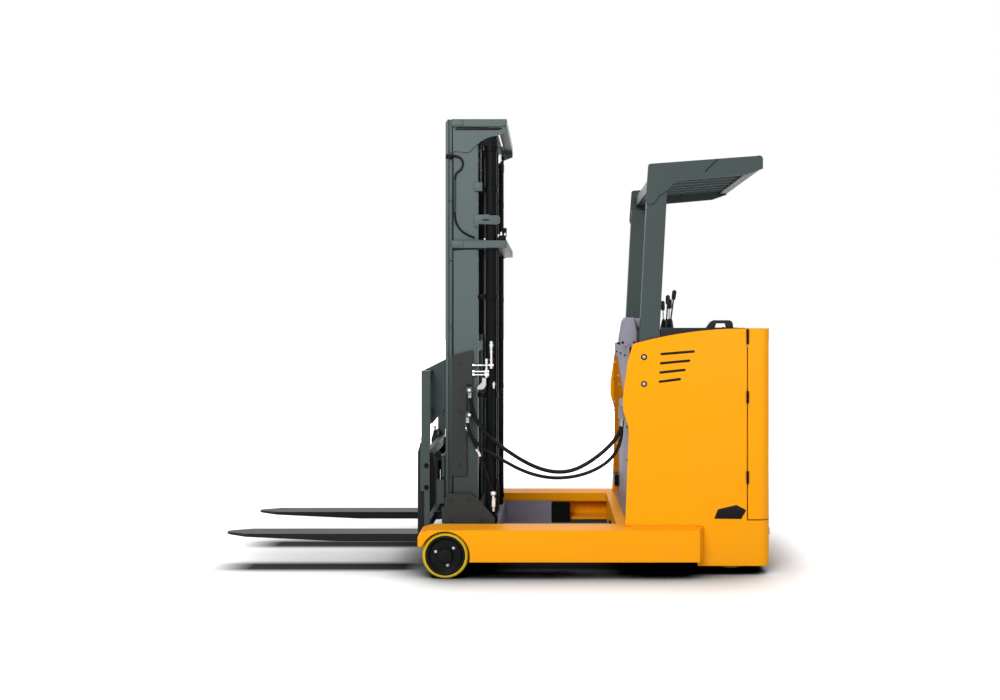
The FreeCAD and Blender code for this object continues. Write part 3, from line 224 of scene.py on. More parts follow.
def new_group(name: str, inputs: dict[str, float], outputs: dict[str, str]) -> tuple[Nodes, dict, Node]:
    """Make a shader node group with named sockets.

    Args:
        name: the group's name.
        inputs: each input's name and its default number.
        outputs: each output's name and its socket type.

    Returns:
        The group's nodes, its input sockets by name and its output node.
    """
    tree = bpy.data.node_groups.new(name, "ShaderNodeTree")
    for label, default in inputs.items():
        socket = tree.interface.new_socket(label, in_out="INPUT", socket_type=NUMBER)
        socket.default_value = default
    for label, kind in outputs.items():
        tree.interface.new_socket(label, in_out="OUTPUT", socket_type=kind)
    nodes = Nodes(tree)
    source = nodes.add("NodeGroupInput")
    return nodes, {label: source.outputs[label] for label in inputs}, nodes.add("NodeGroupOutput")


class Effects:
    """The node groups that several finishes share."""

    edge: NodeTree
    skin: NodeTree
    dust: NodeTree
    brushed: NodeTree
    painted_crevice_shade: NodeTree
    painted_low_shade: NodeTree

    @classmethod
    def build(cls) -> None:
        """Build each group once."""
        cls.edge = cls._edge()
        cls.skin = cls._skin()
        cls.dust = cls._dust()
        cls.brushed = cls._brushed()
        cls.painted_crevice_shade = cls._painted_crevice_shade()
        cls.painted_low_shade = cls._film()

    @staticmethod
    def _edge() -> NodeTree:
        """Rounded edges: a softened normal, and a broken mask along every sharp edge.

        Returns:
            The group's tree.
        """
        nodes, inputs, out = new_group("Rounded edge", {"Radius": 0.002, "Wear": 0.5},
                                       {"Normal": VECTOR, "Mask": NUMBER})
        bevel = nodes.add("ShaderNodeBevel", {"Radius": inputs["Radius"]}, samples=4).outputs[0]
        flat = nodes.add("ShaderNodeNewGeometry").outputs["Normal"]
        dot = nodes.add("ShaderNodeVectorMath", {0: bevel, 1: flat}, operation="DOT_PRODUCT").outputs["Value"]
        broken = nodes.ramp(nodes.noise(nodes.place(), 38.0, 5.0, 0.7), 0.45, 0.62)
        mask = nodes.times(nodes.ramp(nodes.invert(dot), 0.06, 0.25), broken)
        nodes.fill(out, {"Mask": nodes.times(mask, inputs["Wear"], clamp=True), "Normal": bevel})
        return nodes.tree

    @staticmethod
    def _skin() -> NodeTree:
        """A surface's small unevenness: a height, and a slow drift of tone and gloss.

        Returns:
            The group's tree.
        """
        nodes, inputs, out = new_group("Surface skin",
                                       {"Grain scale": 400.0, "Drift scale": 3.0, "Drift": 0.1},
                                       {"Height": NUMBER, "Tone": NUMBER, "Gloss": NUMBER})
        where = nodes.place()
        drift = nodes.noise(where, inputs["Drift scale"], 4.0)
        centred = nodes.times(nodes.math("SUBTRACT", drift, 0.5), inputs["Drift"])
        grain = nodes.noise(where, inputs["Grain scale"], 2.0)
        tone, gloss = nodes.math("ADD", 1.0, centred), nodes.times(centred, 1.4)
        nodes.fill(out, {"Height": grain, "Tone": tone, "Gloss": gloss})
        return nodes.tree

    @staticmethod
    def _dust() -> NodeTree:
        """Dust that lies on upward faces and gathers low down.

        Returns:
            The group's tree.
        """
        nodes, inputs, out = new_group("Settled dust", {"Amount": 0.2, "Reach": 0.35}, {"Mask": NUMBER})
        where = nodes.place()
        up = nodes.split(nodes.add("ShaderNodeNewGeometry").outputs["Normal"])[2]
        low = nodes.invert(nodes.math("DIVIDE", nodes.split(where)[2], inputs["Reach"]), clamp=True)
        cloud = nodes.ramp(nodes.noise(where, 9.0, 6.0, 0.65), 0.35, 0.75)
        share = nodes.math("ADD", nodes.times(nodes.ramp(up, 0.4, 1.0), 0.55), nodes.times(low, 0.6))
        nodes.fill(out, {"Mask": nodes.times(nodes.times(share, cloud), inputs["Amount"], clamp=True)})
        return nodes.tree

    @staticmethod
    def _brushed() -> NodeTree:
        """Fine lines along Z, as turning or drawing leaves them on steel.

        Returns:
            The group's tree.
        """
        nodes, inputs, out = new_group("Drawn lines", {"Scale": 60.0, "Depth": 0.1},
                                       {"Height": NUMBER, "Gloss": NUMBER})
        stretch = nodes.add("ShaderNodeMapping", {"Scale": (1.0, 1.0, 14.0), "Vector": nodes.place()})
        lines = nodes.noise(stretch.outputs[0], inputs["Scale"], 3.0, 0.6)
        gloss = nodes.times(nodes.math("SUBTRACT", lines, 0.5), inputs["Depth"])
        nodes.fill(out, {"Height": lines, "Gloss": gloss})
        return nodes.tree

    @staticmethod
    def _painted_crevice_shade() -> NodeTree:
        """Painted shade in corners and narrow gaps, where ambient occlusion finds nearby surfaces.

        Returns:
            The group's tree.
        """
        nodes, inputs, out = new_group("Crevice shade", {"Reach": 0.03, "Amount": 0.5}, {"Mask": NUMBER})
        closed = nodes.add("ShaderNodeAmbientOcclusion", {"Distance": inputs["Reach"]}, samples=6)
        deep = nodes.invert(nodes.ramp(closed.outputs["AO"], 0.25, 0.85))
        nodes.fill(out, {"Mask": nodes.times(deep, inputs["Amount"], clamp=True)})
        return nodes.tree

    @staticmethod
    def _film() -> NodeTree:
        """Painted shade that darkens a rail towards its foot, its edge broken by noise.

        Returns:
            The group's tree.
        """
        nodes, inputs, out = new_group("Oil film", {"Foot": 0.45, "Head": 1.3, "Amount": 0.5},
                                       {"Mask": NUMBER})
        where = nodes.place()
        cloud = nodes.times(nodes.math("SUBTRACT", nodes.noise(where, 2.2, 3.0), 0.5), 0.3)
        height = nodes.math("ADD", nodes.split(where)[2], cloud)
        span = nodes.math("SUBTRACT", inputs["Head"], inputs["Foot"])
        up = nodes.math("DIVIDE", nodes.math("SUBTRACT", height, inputs["Foot"]), span, clamp=True)
        nodes.fill(out, {"Mask": nodes.times(nodes.invert(up), inputs["Amount"], clamp=True)})
        return nodes.tree


# ---- finishes


@dataclass(frozen=True)
class Finish:
    """A finish: its colour, gloss and the way its surface breaks up."""

    name: str
    slot: str
    colour: Colour
    roughness: float
    metallic: float = 0.0
    coat: float = 0.0
    grain_scale: float = 420.0
    grain_depth: float = 0.05
    drift: float = 0.08
    worn: Colour = (0.3, 0.3, 0.3)
    wear: float = 0.0
    edge: float = 0.0015
    dust: float = 0.1
    dust_colour: Colour = (0.33, 0.3, 0.26)
    drawn: float = 0.0
    specular: float = 0.3
    # The last two fields set painted shade: in corners and gaps, and towards a rail's foot.
    painted_crevice_shade: float = 0.6
    painted_low_shade: float = 0.0

    def _darker(self, share: float) -> tuple[float, ...]:
        """The colour at a share of its brightness, with full alpha."""
        return tuple(channel * share for channel in self.colour) + (1.0,)

    def build(self) -> Material:
        """Make the material.

        Returns:
            The material, with its Principled BSDF fed by the shared groups.
        """
        found = bpy.data.materials.get(self.name)
        if found:
            return found
        made = bpy.data.materials.new(self.name)
        made.use_nodes = True
        nodes = Nodes(made.node_tree)
        edge = nodes.group(Effects.edge, {"Radius": self.edge, "Wear": self.wear})
        skin = nodes.group(Effects.skin, {"Grain scale": self.grain_scale, "Drift": self.drift})
        dust = nodes.group(Effects.dust, {"Amount": self.dust})["Mask"]
        colour = nodes.mix(edge["Mask"], nodes.scaled(self.colour, skin["Tone"]), (*self.worn, 1.0))
        colour = nodes.mix(dust, colour, (*self.dust_colour, 1.0))
        # Painted shade: darken the colour towards a rail's foot.
        if self.painted_low_shade:
            painted_low_shade = nodes.group(Effects.painted_low_shade, {"Amount": self.painted_low_shade})["Mask"]
            colour = nodes.mix(painted_low_shade, colour, self._darker(0.3))
        # Painted shade: darken the colour in corners and gaps.
        painted_crevice_shade = nodes.group(Effects.painted_crevice_shade, {"Amount": self.painted_crevice_shade})["Mask"]
        colour = nodes.mix(painted_crevice_shade, colour, self._darker(0.12))
        gloss = nodes.math("ADD", self.roughness, skin["Gloss"])
        gloss = nodes.math("ADD", gloss, nodes.times(dust, 0.5))
        height = skin["Height"]
        if self.drawn:
            lines = nodes.group(Effects.brushed, {"Depth": self.drawn})
            gloss = nodes.math("ADD", gloss, lines["Gloss"])
            height = lines["Height"]
        feeds = {"Strength": self.grain_depth, "Distance": GRAIN_HEIGHT, "Height": height,
                 "Normal": edge["Normal"]}
        bump = nodes.add("ShaderNodeBump", feeds).outputs[0]
        nodes.fill(made.node_tree.nodes["Principled BSDF"], {
            "Base Color": colour, "Roughness": nodes.math("MAXIMUM", gloss, 0.05, clamp=True), "Normal": bump,
            "Metallic": self.metallic, "Coat Weight": self.coat, "Coat Roughness": 0.12,
            "Specular IOR Level": self.specular,
        })
        return made


class Finishes:
    """Every finish on the truck."""

    BODY = Finish("Body yellow", "body_paint", (0.97, 0.37, 0.003), 0.36, coat=0.04, grain_scale=260.0,
                  grain_depth=0.05, drift=0.05, worn=(0.5, 0.2, 0.03), wear=0.25, edge=0.008, dust=0.08,
                  specular=0.06)
    MAST = Finish("Mast slate", "mast_paint", (0.053, 0.070, 0.069), 0.42, grain_depth=0.07,
                  worn=(0.16, 0.17, 0.17), wear=0.5, edge=0.003, dust=0.12, specular=0.1)
    # A lighter copy of the mast slate: painted light on the outer mast, with painted shade towards its foot.
    RAIL_PAINTED_LIGHTER = Finish("Rail slate", "mast_paint", (0.086, 0.114, 0.112), 0.42, grain_depth=0.07,
                  worn=(0.2, 0.21, 0.21), wear=0.5, edge=0.003, dust=0.06, specular=0.12, painted_low_shade=0.85)
    GREY = Finish("Panel lavender grey", "grey_paint", (0.27, 0.25, 0.31), 0.45, grain_depth=0.06,
                  worn=(0.5, 0.48, 0.52), wear=0.3, edge=0.002, dust=0.1, specular=0.03)
    # A darker copy of the body yellow: painted shade on the front wall's access plate.
    BODY_PAINTED_SHADE = Finish("Bulkhead yellow", "body_paint", (0.72, 0.23, 0.002), 0.6, grain_depth=0.05,
                      worn=(0.4, 0.16, 0.03), wear=0.3, edge=0.001, dust=0.1, specular=0.0)
    BLACK = Finish("Frame black", "black_steel", (0.0035, 0.004, 0.0045), 0.4, grain_depth=0.08,
                   worn=(0.06, 0.06, 0.06), wear=0.5, edge=0.0015, dust=0.06, specular=0.05)
    FORK = Finish("Fork black", "black_steel", (0.004, 0.0045, 0.0065), 0.34, grain_depth=0.1,
                  worn=(0.12, 0.12, 0.13), wear=0.8, edge=0.002, dust=0.04, specular=0.16)
    STEEL = Finish("Bare steel", "steel", (0.27, 0.27, 0.265), 0.36, metallic=1.0, drawn=0.25,
                   grain_depth=0.12, edge=0.0008, dust=0.1)
    ZINC = Finish("Bright zinc", "steel", (0.52, 0.52, 0.5), 0.32, metallic=1.0, grain_depth=0.05,
                  edge=0.0005, dust=0.05)
    CHROME = Finish("Hard chrome", "chrome", (0.72, 0.73, 0.74), 0.1, metallic=1.0, drawn=0.05,
                    grain_depth=0.02, edge=0.0005, dust=0.0)
    NITRIDED = Finish("Nitrided rod", "chrome", (0.04, 0.041, 0.043), 0.28, metallic=1.0, drawn=0.05,
                      grain_depth=0.02, edge=0.0005, dust=0.0)
    CAST = Finish("Wheel casting", "black_steel", (0.004, 0.0045, 0.0045), 0.45, grain_scale=300.0,
                  grain_depth=0.25, worn=(0.05, 0.05, 0.05), wear=0.5, edge=0.0015, dust=0.05,
                  specular=0.08)
    TREAD = Finish("Yellow tread", "tyre", (0.66, 0.46, 0.004), 0.42, grain_scale=500.0, grain_depth=0.12,
                   drift=0.18, worn=(0.35, 0.27, 0.04), wear=0.6, edge=0.002, dust=0.3, specular=0.15)
    RUBBER = Finish("Hose rubber", "rubber", (0.003, 0.003, 0.0035), 0.4, grain_scale=900.0, grain_depth=0.12,
                    edge=0.0005, dust=0.05, specular=0.1)
    PLASTIC = Finish("Console plastic", "plastic", (0.009, 0.0095, 0.011), 0.5, grain_scale=1100.0,
                     grain_depth=0.35, worn=(0.05, 0.05, 0.05), wear=0.2, edge=0.003, dust=0.1, specular=0.15)
    SHIELD = Finish("Shield grey", "mast_paint", (0.025, 0.028, 0.027), 0.5, grain_depth=0.08,
                    worn=(0.12, 0.12, 0.12), wear=0.4, edge=0.0015, dust=0.12, specular=0.15)
    PLATE = Finish("Blank plate black", "plastic", (0.004, 0.004, 0.0045), 0.42, grain_depth=0.03,
                   edge=0.0005, dust=0.0, specular=0.1)
    PALE = Finish("Pale bracket", "grey_paint", (0.55, 0.56, 0.54), 0.5, grain_depth=0.05, edge=0.001,
                  dust=0.05)
    CHAIN = Finish("Oiled chain", "steel", (0.05, 0.048, 0.045), 0.45, metallic=1.0, grain_depth=0.05,
                   edge=0.0003, dust=0.0)
    LEATHER = Finish("Back pad vinyl", "plastic", (0.018, 0.018, 0.02), 0.48, grain_scale=1500.0,
                     grain_depth=0.3, drift=0.12, worn=(0.05, 0.05, 0.05), wear=0.2, edge=0.002, dust=0.05)
    MAT = Finish("Floor mat", "rubber", (0.02, 0.02, 0.021), 0.6, grain_scale=700.0, grain_depth=0.3,
                 worn=(0.06, 0.06, 0.06), wear=0.4, edge=0.0008, dust=0.35)
    GLASS = Finish("Display glass", "plastic", (0.01, 0.014, 0.013), 0.12, coat=0.6, grain_depth=0.0,
                   drift=0.0, edge=0.0005, dust=0.0)
    GREEN = Finish("Key green", "plastic", (0.03, 0.26, 0.09), 0.4, grain_depth=0.05, edge=0.0005, dust=0.0)
    RED = Finish("Button red", "plastic", (0.5, 0.018, 0.014), 0.36, coat=0.2, grain_depth=0.03, edge=0.0008,
                 dust=0.0)
    LIGHT = Finish("Key grey", "plastic", (0.3, 0.3, 0.31), 0.45, grain_depth=0.05, edge=0.0005, dust=0.0)

    @classmethod
    def of_nodes(cls) -> dict[str, Finish]:
        """The finish of each CAD node that stays as it is.

        Returns:
            The finishes, by the node's name.
        """
        groups = (
            (cls.BODY, "leg_left leg_right side_panel_left side_panel_right rear_door rear_frame"),
            (cls.RAIL_PAINTED_LIGHTER, "outer_mast"),
            (cls.MAST, "inner_mast guard_post_left guard_post_right guard_roof lift_carriage "
                       "fork_frame load_backrest"),
            (cls.SHIELD, "mast_covers"),
            (cls.GREY, "front_wall valve_cover reach_carriage"),
            (cls.BLACK, "reach_cylinder tilt_cylinder door_hinges drive_unit caster_fork battery "
                        "lift_cylinders carriage_rollers"),
            (cls.FORK, "fork_left fork_right"),
            (cls.STEEL, "lift_rollers"),
            (cls.ZINC, "hydraulic_pipes"),
            (cls.CHROME, "lift_rods tilt_rod"),
            (cls.NITRIDED, "reach_rod"),
            (cls.RUBBER, "rubber_buffers mast_hoses"),
            (cls.PLASTIC, "dashboard operator_floor grab_handle"),
        )
        return {node: finish for finish, names in groups for node in names.split()}


def dress_nodes(nodes: dict[str, Object]) -> None:
    """Give every CAD node its material.

    Args:
        nodes: the frame's nodes by name.
    """
    for name, finish in Finishes.of_nodes().items():
        if name in nodes:
            nodes[name].data.materials.clear()
            nodes[name].data.materials.append(finish.build())


# ---- stage


@dataclass
class Stage:
    """The floor, the lamps and the camera."""

    eye: Point = (-0.31, 5.035, 1.373)
    lens: float = 30.24
    shift: tuple[float, float] = (-0.05, -0.028)
    floor_half: float = 60.0
    fade: Flat = (1.7, 3.4)
    glow: float = 0.45
    ambient: float = 0.44
    shade_reach: float = 0.55
    absorbed: float = 0.6
    # Painted shadow: where the floor's soft dark masks lie, between the legs and below each fork.
    under: tuple[Flat, Flat, Flat] = ((-1.35, -0.85), (0.60, 0.25), (0.85, 0.60))
    under_middle: float = -0.25
    forks: tuple[Flat, Flat, Flat] = ((0.28, 0.50), (1.62, 1.36), (0.105, 0.045))
    fork_middle: float = 0.08
    fork_track: float = 0.24

    def build(self) -> None:
        """Build the whole stage."""
        self._camera()
        self._floor()
        self._lamps()
        self._world()
        bpy.context.scene.view_settings.view_transform = "Standard"

    def _camera(self) -> None:
        """Place the camera square to the truck's left side."""
        data = bpy.data.cameras.new("Camera")
        data.lens = self.lens
        data.sensor_width = 36.0
        data.shift_x, data.shift_y = self.shift
        data.clip_end = 300.0
        camera = bpy.data.objects.new("Camera", data)
        camera.location = self.eye
        camera.rotation_euler = (math.radians(90), 0.0, math.radians(180))
        bpy.context.collection.objects.link(camera)
        bpy.context.scene.camera = camera

    def _floor(self) -> None:
        """Lay a plain white floor that the camera and gloss see as white, with cast and painted shadow on it.
        """
        half = self.floor_half
        corners = [(-half, -half, 0.0), (half, -half, 0.0), (half, half, 0.0), (-half, half, 0.0)]
        mesh = bpy.data.meshes.new("Floor")
        mesh.from_pydata(corners, [], [(0, 1, 2, 3)])
        floor = linked("Floor", mesh)
        material = bpy.data.materials.new("Floor white")
        material.use_nodes = True
        nodes = Nodes(material.node_tree)
        rays = nodes.add("ShaderNodeLightPath").outputs
        seen = nodes.math("MAXIMUM", rays["Is Camera Ray"], rays["Is Glossy Ray"])
        where = nodes.place()
        reach = nodes.add("ShaderNodeVectorMath", {0: where}, operation="LENGTH").outputs["Value"]
        far = nodes.ramp(reach, *self.fade)
        # Painted shade: ambient occlusion darkens the floor's colour and glow near the truck.
        open_sky = nodes.add("ShaderNodeAmbientOcclusion", {"Distance": self.shade_reach}, samples=16)
        near = nodes.times(nodes.ramp(open_sky.outputs["AO"], 0.35, 0.97),
                           nodes.invert(self._shade(nodes, where)))
        bounced = nodes.times(rays["Is Diffuse Ray"], self.absorbed)
        shade = nodes.times(nodes.math("MAXIMUM", near, far), nodes.invert(bounced))
        glow = nodes.math("ADD", nodes.times(near, self.glow), far)
        nodes.fill(material.node_tree.nodes["Principled BSDF"], {
            "Base Color": nodes.scaled((0.9, 0.9, 0.9), shade), "Roughness": 0.9, "Specular IOR Level": 0.0,
            "Emission Color": WHITE, "Emission Strength": nodes.times(glow, seen),
        })
        floor.data.materials.append(material)

    def _shade(self, nodes: Nodes, where: NodeSocket) -> NodeSocket:
        """The painted shadow between the legs and below each fork.

        Args:
            nodes: the floor material's nodes.
            where: the place on the floor.

        Returns:
            The mask, 1 in the darkest shade.
        """
        ahead, beside = nodes.split(where)[:2]
        aside = nodes.math("ABSOLUTE", nodes.math("SUBTRACT", beside, self.under_middle))
        off_middle = nodes.math("ABSOLUTE", nodes.math("SUBTRACT", beside, self.fork_middle))
        off_track = nodes.math("ABSOLUTE", nodes.math("SUBTRACT", off_middle, self.fork_track))
        masks = []
        darks = ((self.under, aside, 0.97), (self.forks, off_track, 0.94))
        for (rear, front, across), away, strength in darks:
            mask = nodes.times(nodes.ramp(ahead, *rear), nodes.ramp(ahead, *front))
            masks.append(nodes.times(nodes.times(mask, nodes.ramp(away, *across)), strength))
        return nodes.math("MAXIMUM", *masks)

    def _lamps(self) -> None:
        """Hang three large soft lamps."""
        lamps = (
            ("Key", (1.8, 5.6, 4.2), 3.0, 320.0),
            ("Fill", (-3.4, 5.6, 2.2), 3.4, 90.0),
            ("Back", (0.0, -4.5, 4.5), 4.0, 90.0),
        )
        for name, place, size, power in lamps:
            data = bpy.data.lights.new(name, "AREA")
            data.shape = "SQUARE"
            data.size = size
            data.energy = power
            lamp = bpy.data.objects.new(name, data)
            lamp.location = place
            aim = Vector((-0.3, 0.0, 0.9)) - Vector(place)
            lamp.rotation_euler = aim.to_track_quat("-Z", "Y").to_euler()
            bpy.context.collection.objects.link(lamp)

    def _world(self) -> None:
        """Light from all round, seen as white by the camera and by gloss."""
        world = bpy.data.worlds.new("Studio")
        world.use_nodes = True
        bpy.context.scene.world = world
        nodes = Nodes(world.node_tree)
        rays = nodes.add("ShaderNodeLightPath").outputs
        seen = nodes.math("MAXIMUM", rays["Is Camera Ray"], rays["Is Transmission Ray"])
        seen = nodes.math("MAXIMUM", seen, rays["Is Glossy Ray"])
        strength = nodes.math("ADD", nodes.times(seen, 1.0 - self.ambient), self.ambient)
        nodes.fill(world.node_tree.nodes["Background"], {"Color": WHITE, "Strength": strength})


# ---- meshes


class Shape:
    """A mesh that grows form by form, in the frame's metres."""

    def __init__(self) -> None:
        """Start an empty mesh."""
        self.mesh = bmesh.new()

    def solid(self, points: Sequence[Triple], faces: Iterable[Sequence[int]], bevel: float = 0.0) -> None:
        """Add a closed form.

        Args:
            points: its corners.
            faces: its faces, each a list of corner numbers.
            bevel: the width that its edges are rounded over.
        """
        corners = [self.mesh.verts.new(point) for point in points]
        made = [self.mesh.faces.new([corners[i] for i in face]) for face in faces]
        bmesh.ops.recalc_face_normals(self.mesh, faces=made)
        if bevel:
            edges = list({edge for face in made for edge in face.edges})
            bmesh.ops.bevel(self.mesh, geom=edges, offset=bevel, segments=2, profile=0.5, affect="EDGES",
                            clamp_overlap=True)

    def prism(self, outline: Sequence[Flat], axis: str, low: float, high: float, bevel: float = 0.0) -> None:
        """Add an outline drawn across an axis and carried along it.

        Args:
            outline: its corners in the two other axes, in the order of the alphabet.
            axis: the axis it is carried along.
            low: where it starts.
            high: where it ends.
            bevel: the width that its edges are rounded over.
        """
        place = "xyz".index(axis)
        points = []
        for along in (low, high):
            for flat in outline:
                point = list(flat)
                point.insert(place, along)
                points.append(point)
        count = len(outline)
        faces = [list(range(count)), list(range(count, 2 * count))]
        faces += [(i, (i + 1) % count, (i + 1) % count + count, i + count) for i in range(count)]
        self.solid(points, faces, bevel)

    def block(self, low: Triple, high: Triple, bevel: float = 0.0015) -> None:
        """Add a block with eased edges between two corners."""
        outline = [(low[0], low[1]), (high[0], low[1]), (high[0], high[1]), (low[0], high[1])]
        self.prism(outline, "z", low[2], high[2], bevel)

    def lathe(self, profile: Sequence[Flat], centre: Triple, along: Triple, steps: int = 48,
              closed: bool = False) -> None:
        """Turn a profile round a line.

        Args:
            profile: distances along the line and radii from it.
            centre: where the line starts.
            along: the line's direction.
            steps: how many flats make a turn.
            closed: whether the profile joins up with itself, as a tyre's does.
        """
        axis = Vector(along).normalized()
        first = axis.orthogonal().normalized()
        if abs(axis.x) < 1e-6:
            first = Vector(AHEAD)
        second = axis.cross(first)
        rings = []
        for distance, radius in profile:
            middle = Vector(centre) + axis * distance
            count = 1 if radius < 1e-6 else steps
            turns = [2 * math.pi * i / steps for i in range(count)]
            rings.append([
                self.mesh.verts.new(middle + (first * math.cos(turn) + second * math.sin(turn)) * radius)
                for turn in turns
            ])
        faces = []
        for one, two in zip(rings, rings[1:] + rings[:1] if closed else rings[1:]):
            for i in range(steps):
                j = (i + 1) % steps
                around = [one[i % len(one)], one[j % len(one)], two[j % len(two)], two[i % len(two)]]
                around = list(dict.fromkeys(around))
                if len(around) > 2:
                    faces.append(self.mesh.faces.new(around))
        if not closed:
            faces += [self.mesh.faces.new(ring) for ring in (rings[0], rings[-1]) if len(ring) > 1]
        bmesh.ops.recalc_face_normals(self.mesh, faces=faces)

    def tube(self, points: Sequence[Triple], radius: float, sides: int = 12) -> None:
        """Add a round tube along a line of points, closed at both ends.

        Args:
            points: the line.
            radius: the tube's outside radius.
            sides: how many flats go round it.
        """
        line = [Vector(point) for point in points]
        ways = [(after - before).normalized() for before, after in zip(line, line[1:])]
        ways = [ways[0]] + [(a + b).normalized() for a, b in zip(ways, ways[1:])] + [ways[-1]]
        side = ways[0].orthogonal().normalized()
        rings = []
        for point, way in zip(line, ways):
            side = (side - way * side.dot(way)).normalized()
            up = way.cross(side)
            turns = [2 * math.pi * i / sides for i in range(sides)]
            rings.append([
                self.mesh.verts.new(point + (side * math.cos(turn) + up * math.sin(turn)) * radius)
                for turn in turns
            ])
        faces = [
            self.mesh.faces.new((one[i], one[(i + 1) % sides], two[(i + 1) % sides], two[i]))
            for one, two in zip(rings, rings[1:])
            for i in range(sides)
        ]
        faces += [self.mesh.faces.new(rings[0]), self.mesh.faces.new(rings[-1])]
        bmesh.ops.recalc_face_normals(self.mesh, faces=faces)

    def nut(self, place: Triple, way: Triple, radius: float, long: float, drop: float = 0.0015,
            sides: int = HEXAGON) -> None:
        """Add a nut or collar with a chamfer of a drop at both ends."""
        profile = [(0, 0), (0, radius - drop), (0.002, radius), (long - 0.002, radius),
                   (long, radius - drop), (long, 0)]
        self.lathe(profile, place, way, sides)

    def rod(self, place: Triple, way: Triple, radius: float, long: float, sides: int) -> None:
        """Add a plain short rod."""
        self.lathe([(0, 0), (0, radius), (long, radius), (long, 0)], place, way, sides)

    def mount(self, name: str, finish: Finish, body: Body, *replaced: str) -> Object:
        """Make the object and let it ride on a body, in place of the nodes that it replaces."""
        return mounted(self.done(name, finish), body, *replaced)

    def done(self, name: str, finish: Finish) -> Object:
        """Make the object, smooth but for its sharp edges.

        Args:
            name: its name.
            finish: its finish.

        Returns:
            The object, at the origin and linked to the scene.
        """
        mesh = bpy.data.meshes.new(name)
        self.mesh.to_mesh(mesh)
        self.mesh.free()
        return linked(name, mesh, finish)


def linked(name: str, mesh: Mesh, finish: Finish | None = None) -> Object:
    """Link an object that holds a finished mesh.

    Args:
        name: its name.
        mesh: its mesh, in the frame.
        finish: its finish, if it has one.

    Returns:
        The object, at the origin.
    """
    mesh.shade_smooth()
    mesh.set_sharp_from_angle(angle=SHARP_ANGLE)
    made = bpy.data.objects.new(name, mesh)
    bpy.context.collection.objects.link(made)
    if finish:
        mesh.materials.clear()
        mesh.materials.append(finish.build())
    return made


def mounted(piece: Object, body: Body, *replaced: str) -> Object:
    """Let a piece ride on a body, in place of some of the frame's nodes, and report it.

    Args:
        piece: the piece.
        body: the body that carries it.
        replaced: the frame's nodes that it stands for.

    Returns:
        The piece.
    """
    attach(piece, body.value)
    if replaced:
        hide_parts(*replaced)
    LOG.info("%s: %d faces on %s", piece.name, len(piece.data.polygons), body.value)
    return piece


def evaluated(carrier: Object, name: str, finish: Finish) -> Object:
    """Turn a carrier with a Geometry Nodes modifier into a plain mesh object.

    Args:
        carrier: the object that holds the modifier. It is removed.
        name: the new object's name.
        finish: its finish.

    Returns:
        The plain object.
    """
    bpy.context.view_layer.update()
    graph = bpy.context.evaluated_depsgraph_get()
    mesh = bpy.data.meshes.new_from_object(carrier.evaluated_get(graph))
    for label in ("facing", "width"):
        if label in mesh.attributes:
            mesh.attributes.remove(mesh.attributes[label])
    carrier.modifiers.clear()
    bpy.data.objects.remove(carrier)
    mesh.name = name
    return linked(name, mesh, finish)


def new_tree(name: str, inputs: dict[str, tuple[str, object]]) -> tuple[Nodes, dict, Node]:
    """Start a Geometry Nodes tree with named inputs.

    Args:
        name: the tree's name.
        inputs: each input's name, with its socket type and its default.

    Returns:
        The tree's nodes, its input sockets by name and its output node.
    """
    tree = bpy.data.node_groups.new(name, "GeometryNodeTree")
    tree.interface.new_socket("Geometry", in_out="INPUT", socket_type="NodeSocketGeometry")
    for label, (kind, default) in inputs.items():
        socket = tree.interface.new_socket(label, in_out="INPUT", socket_type=kind)
        if default is not None:
            socket.default_value = default
    tree.interface.new_socket("Geometry", in_out="OUTPUT", socket_type="NodeSocketGeometry")
    nodes = Nodes(tree)
    sockets = {socket.name: socket for socket in nodes.add("NodeGroupInput").outputs if socket.name}
    return nodes, sockets, nodes.add("NodeGroupOutput")


def close_tree(nodes: Nodes, geometry: NodeSocket, material: NodeSocket, out: Node) -> None:
    """End a tree in Realize Instances and Set Material.

    Args:
        nodes: the tree's nodes.
        geometry: what it has made.
        material: its material.
        out: the tree's output node.
    """
    real = nodes.add("GeometryNodeRealizeInstances", {0: geometry}).outputs[0]
    paint = nodes.add("GeometryNodeSetMaterial", {"Geometry": real, "Material": material}).outputs[0]
    nodes.fill(out, {0: paint})


def run_tree(carrier: Object, tree: NodeTree, **values: object) -> None:
    """Put a tree on a carrier and set its inputs by their identifiers.

    Args:
        carrier: the object that the tree runs on.
        tree: the Geometry Nodes tree.
        values: the inputs, by name, with underscores for spaces.
    """
    modifier = carrier.modifiers.new(tree.name, "NODES")
    modifier.node_group = tree
    for socket in tree.interface.items_tree:
        label = socket.name.lower().replace(" ", "_")
        if socket.in_out == "INPUT" and label in values:
            modifier[socket.identifier] = values[label]


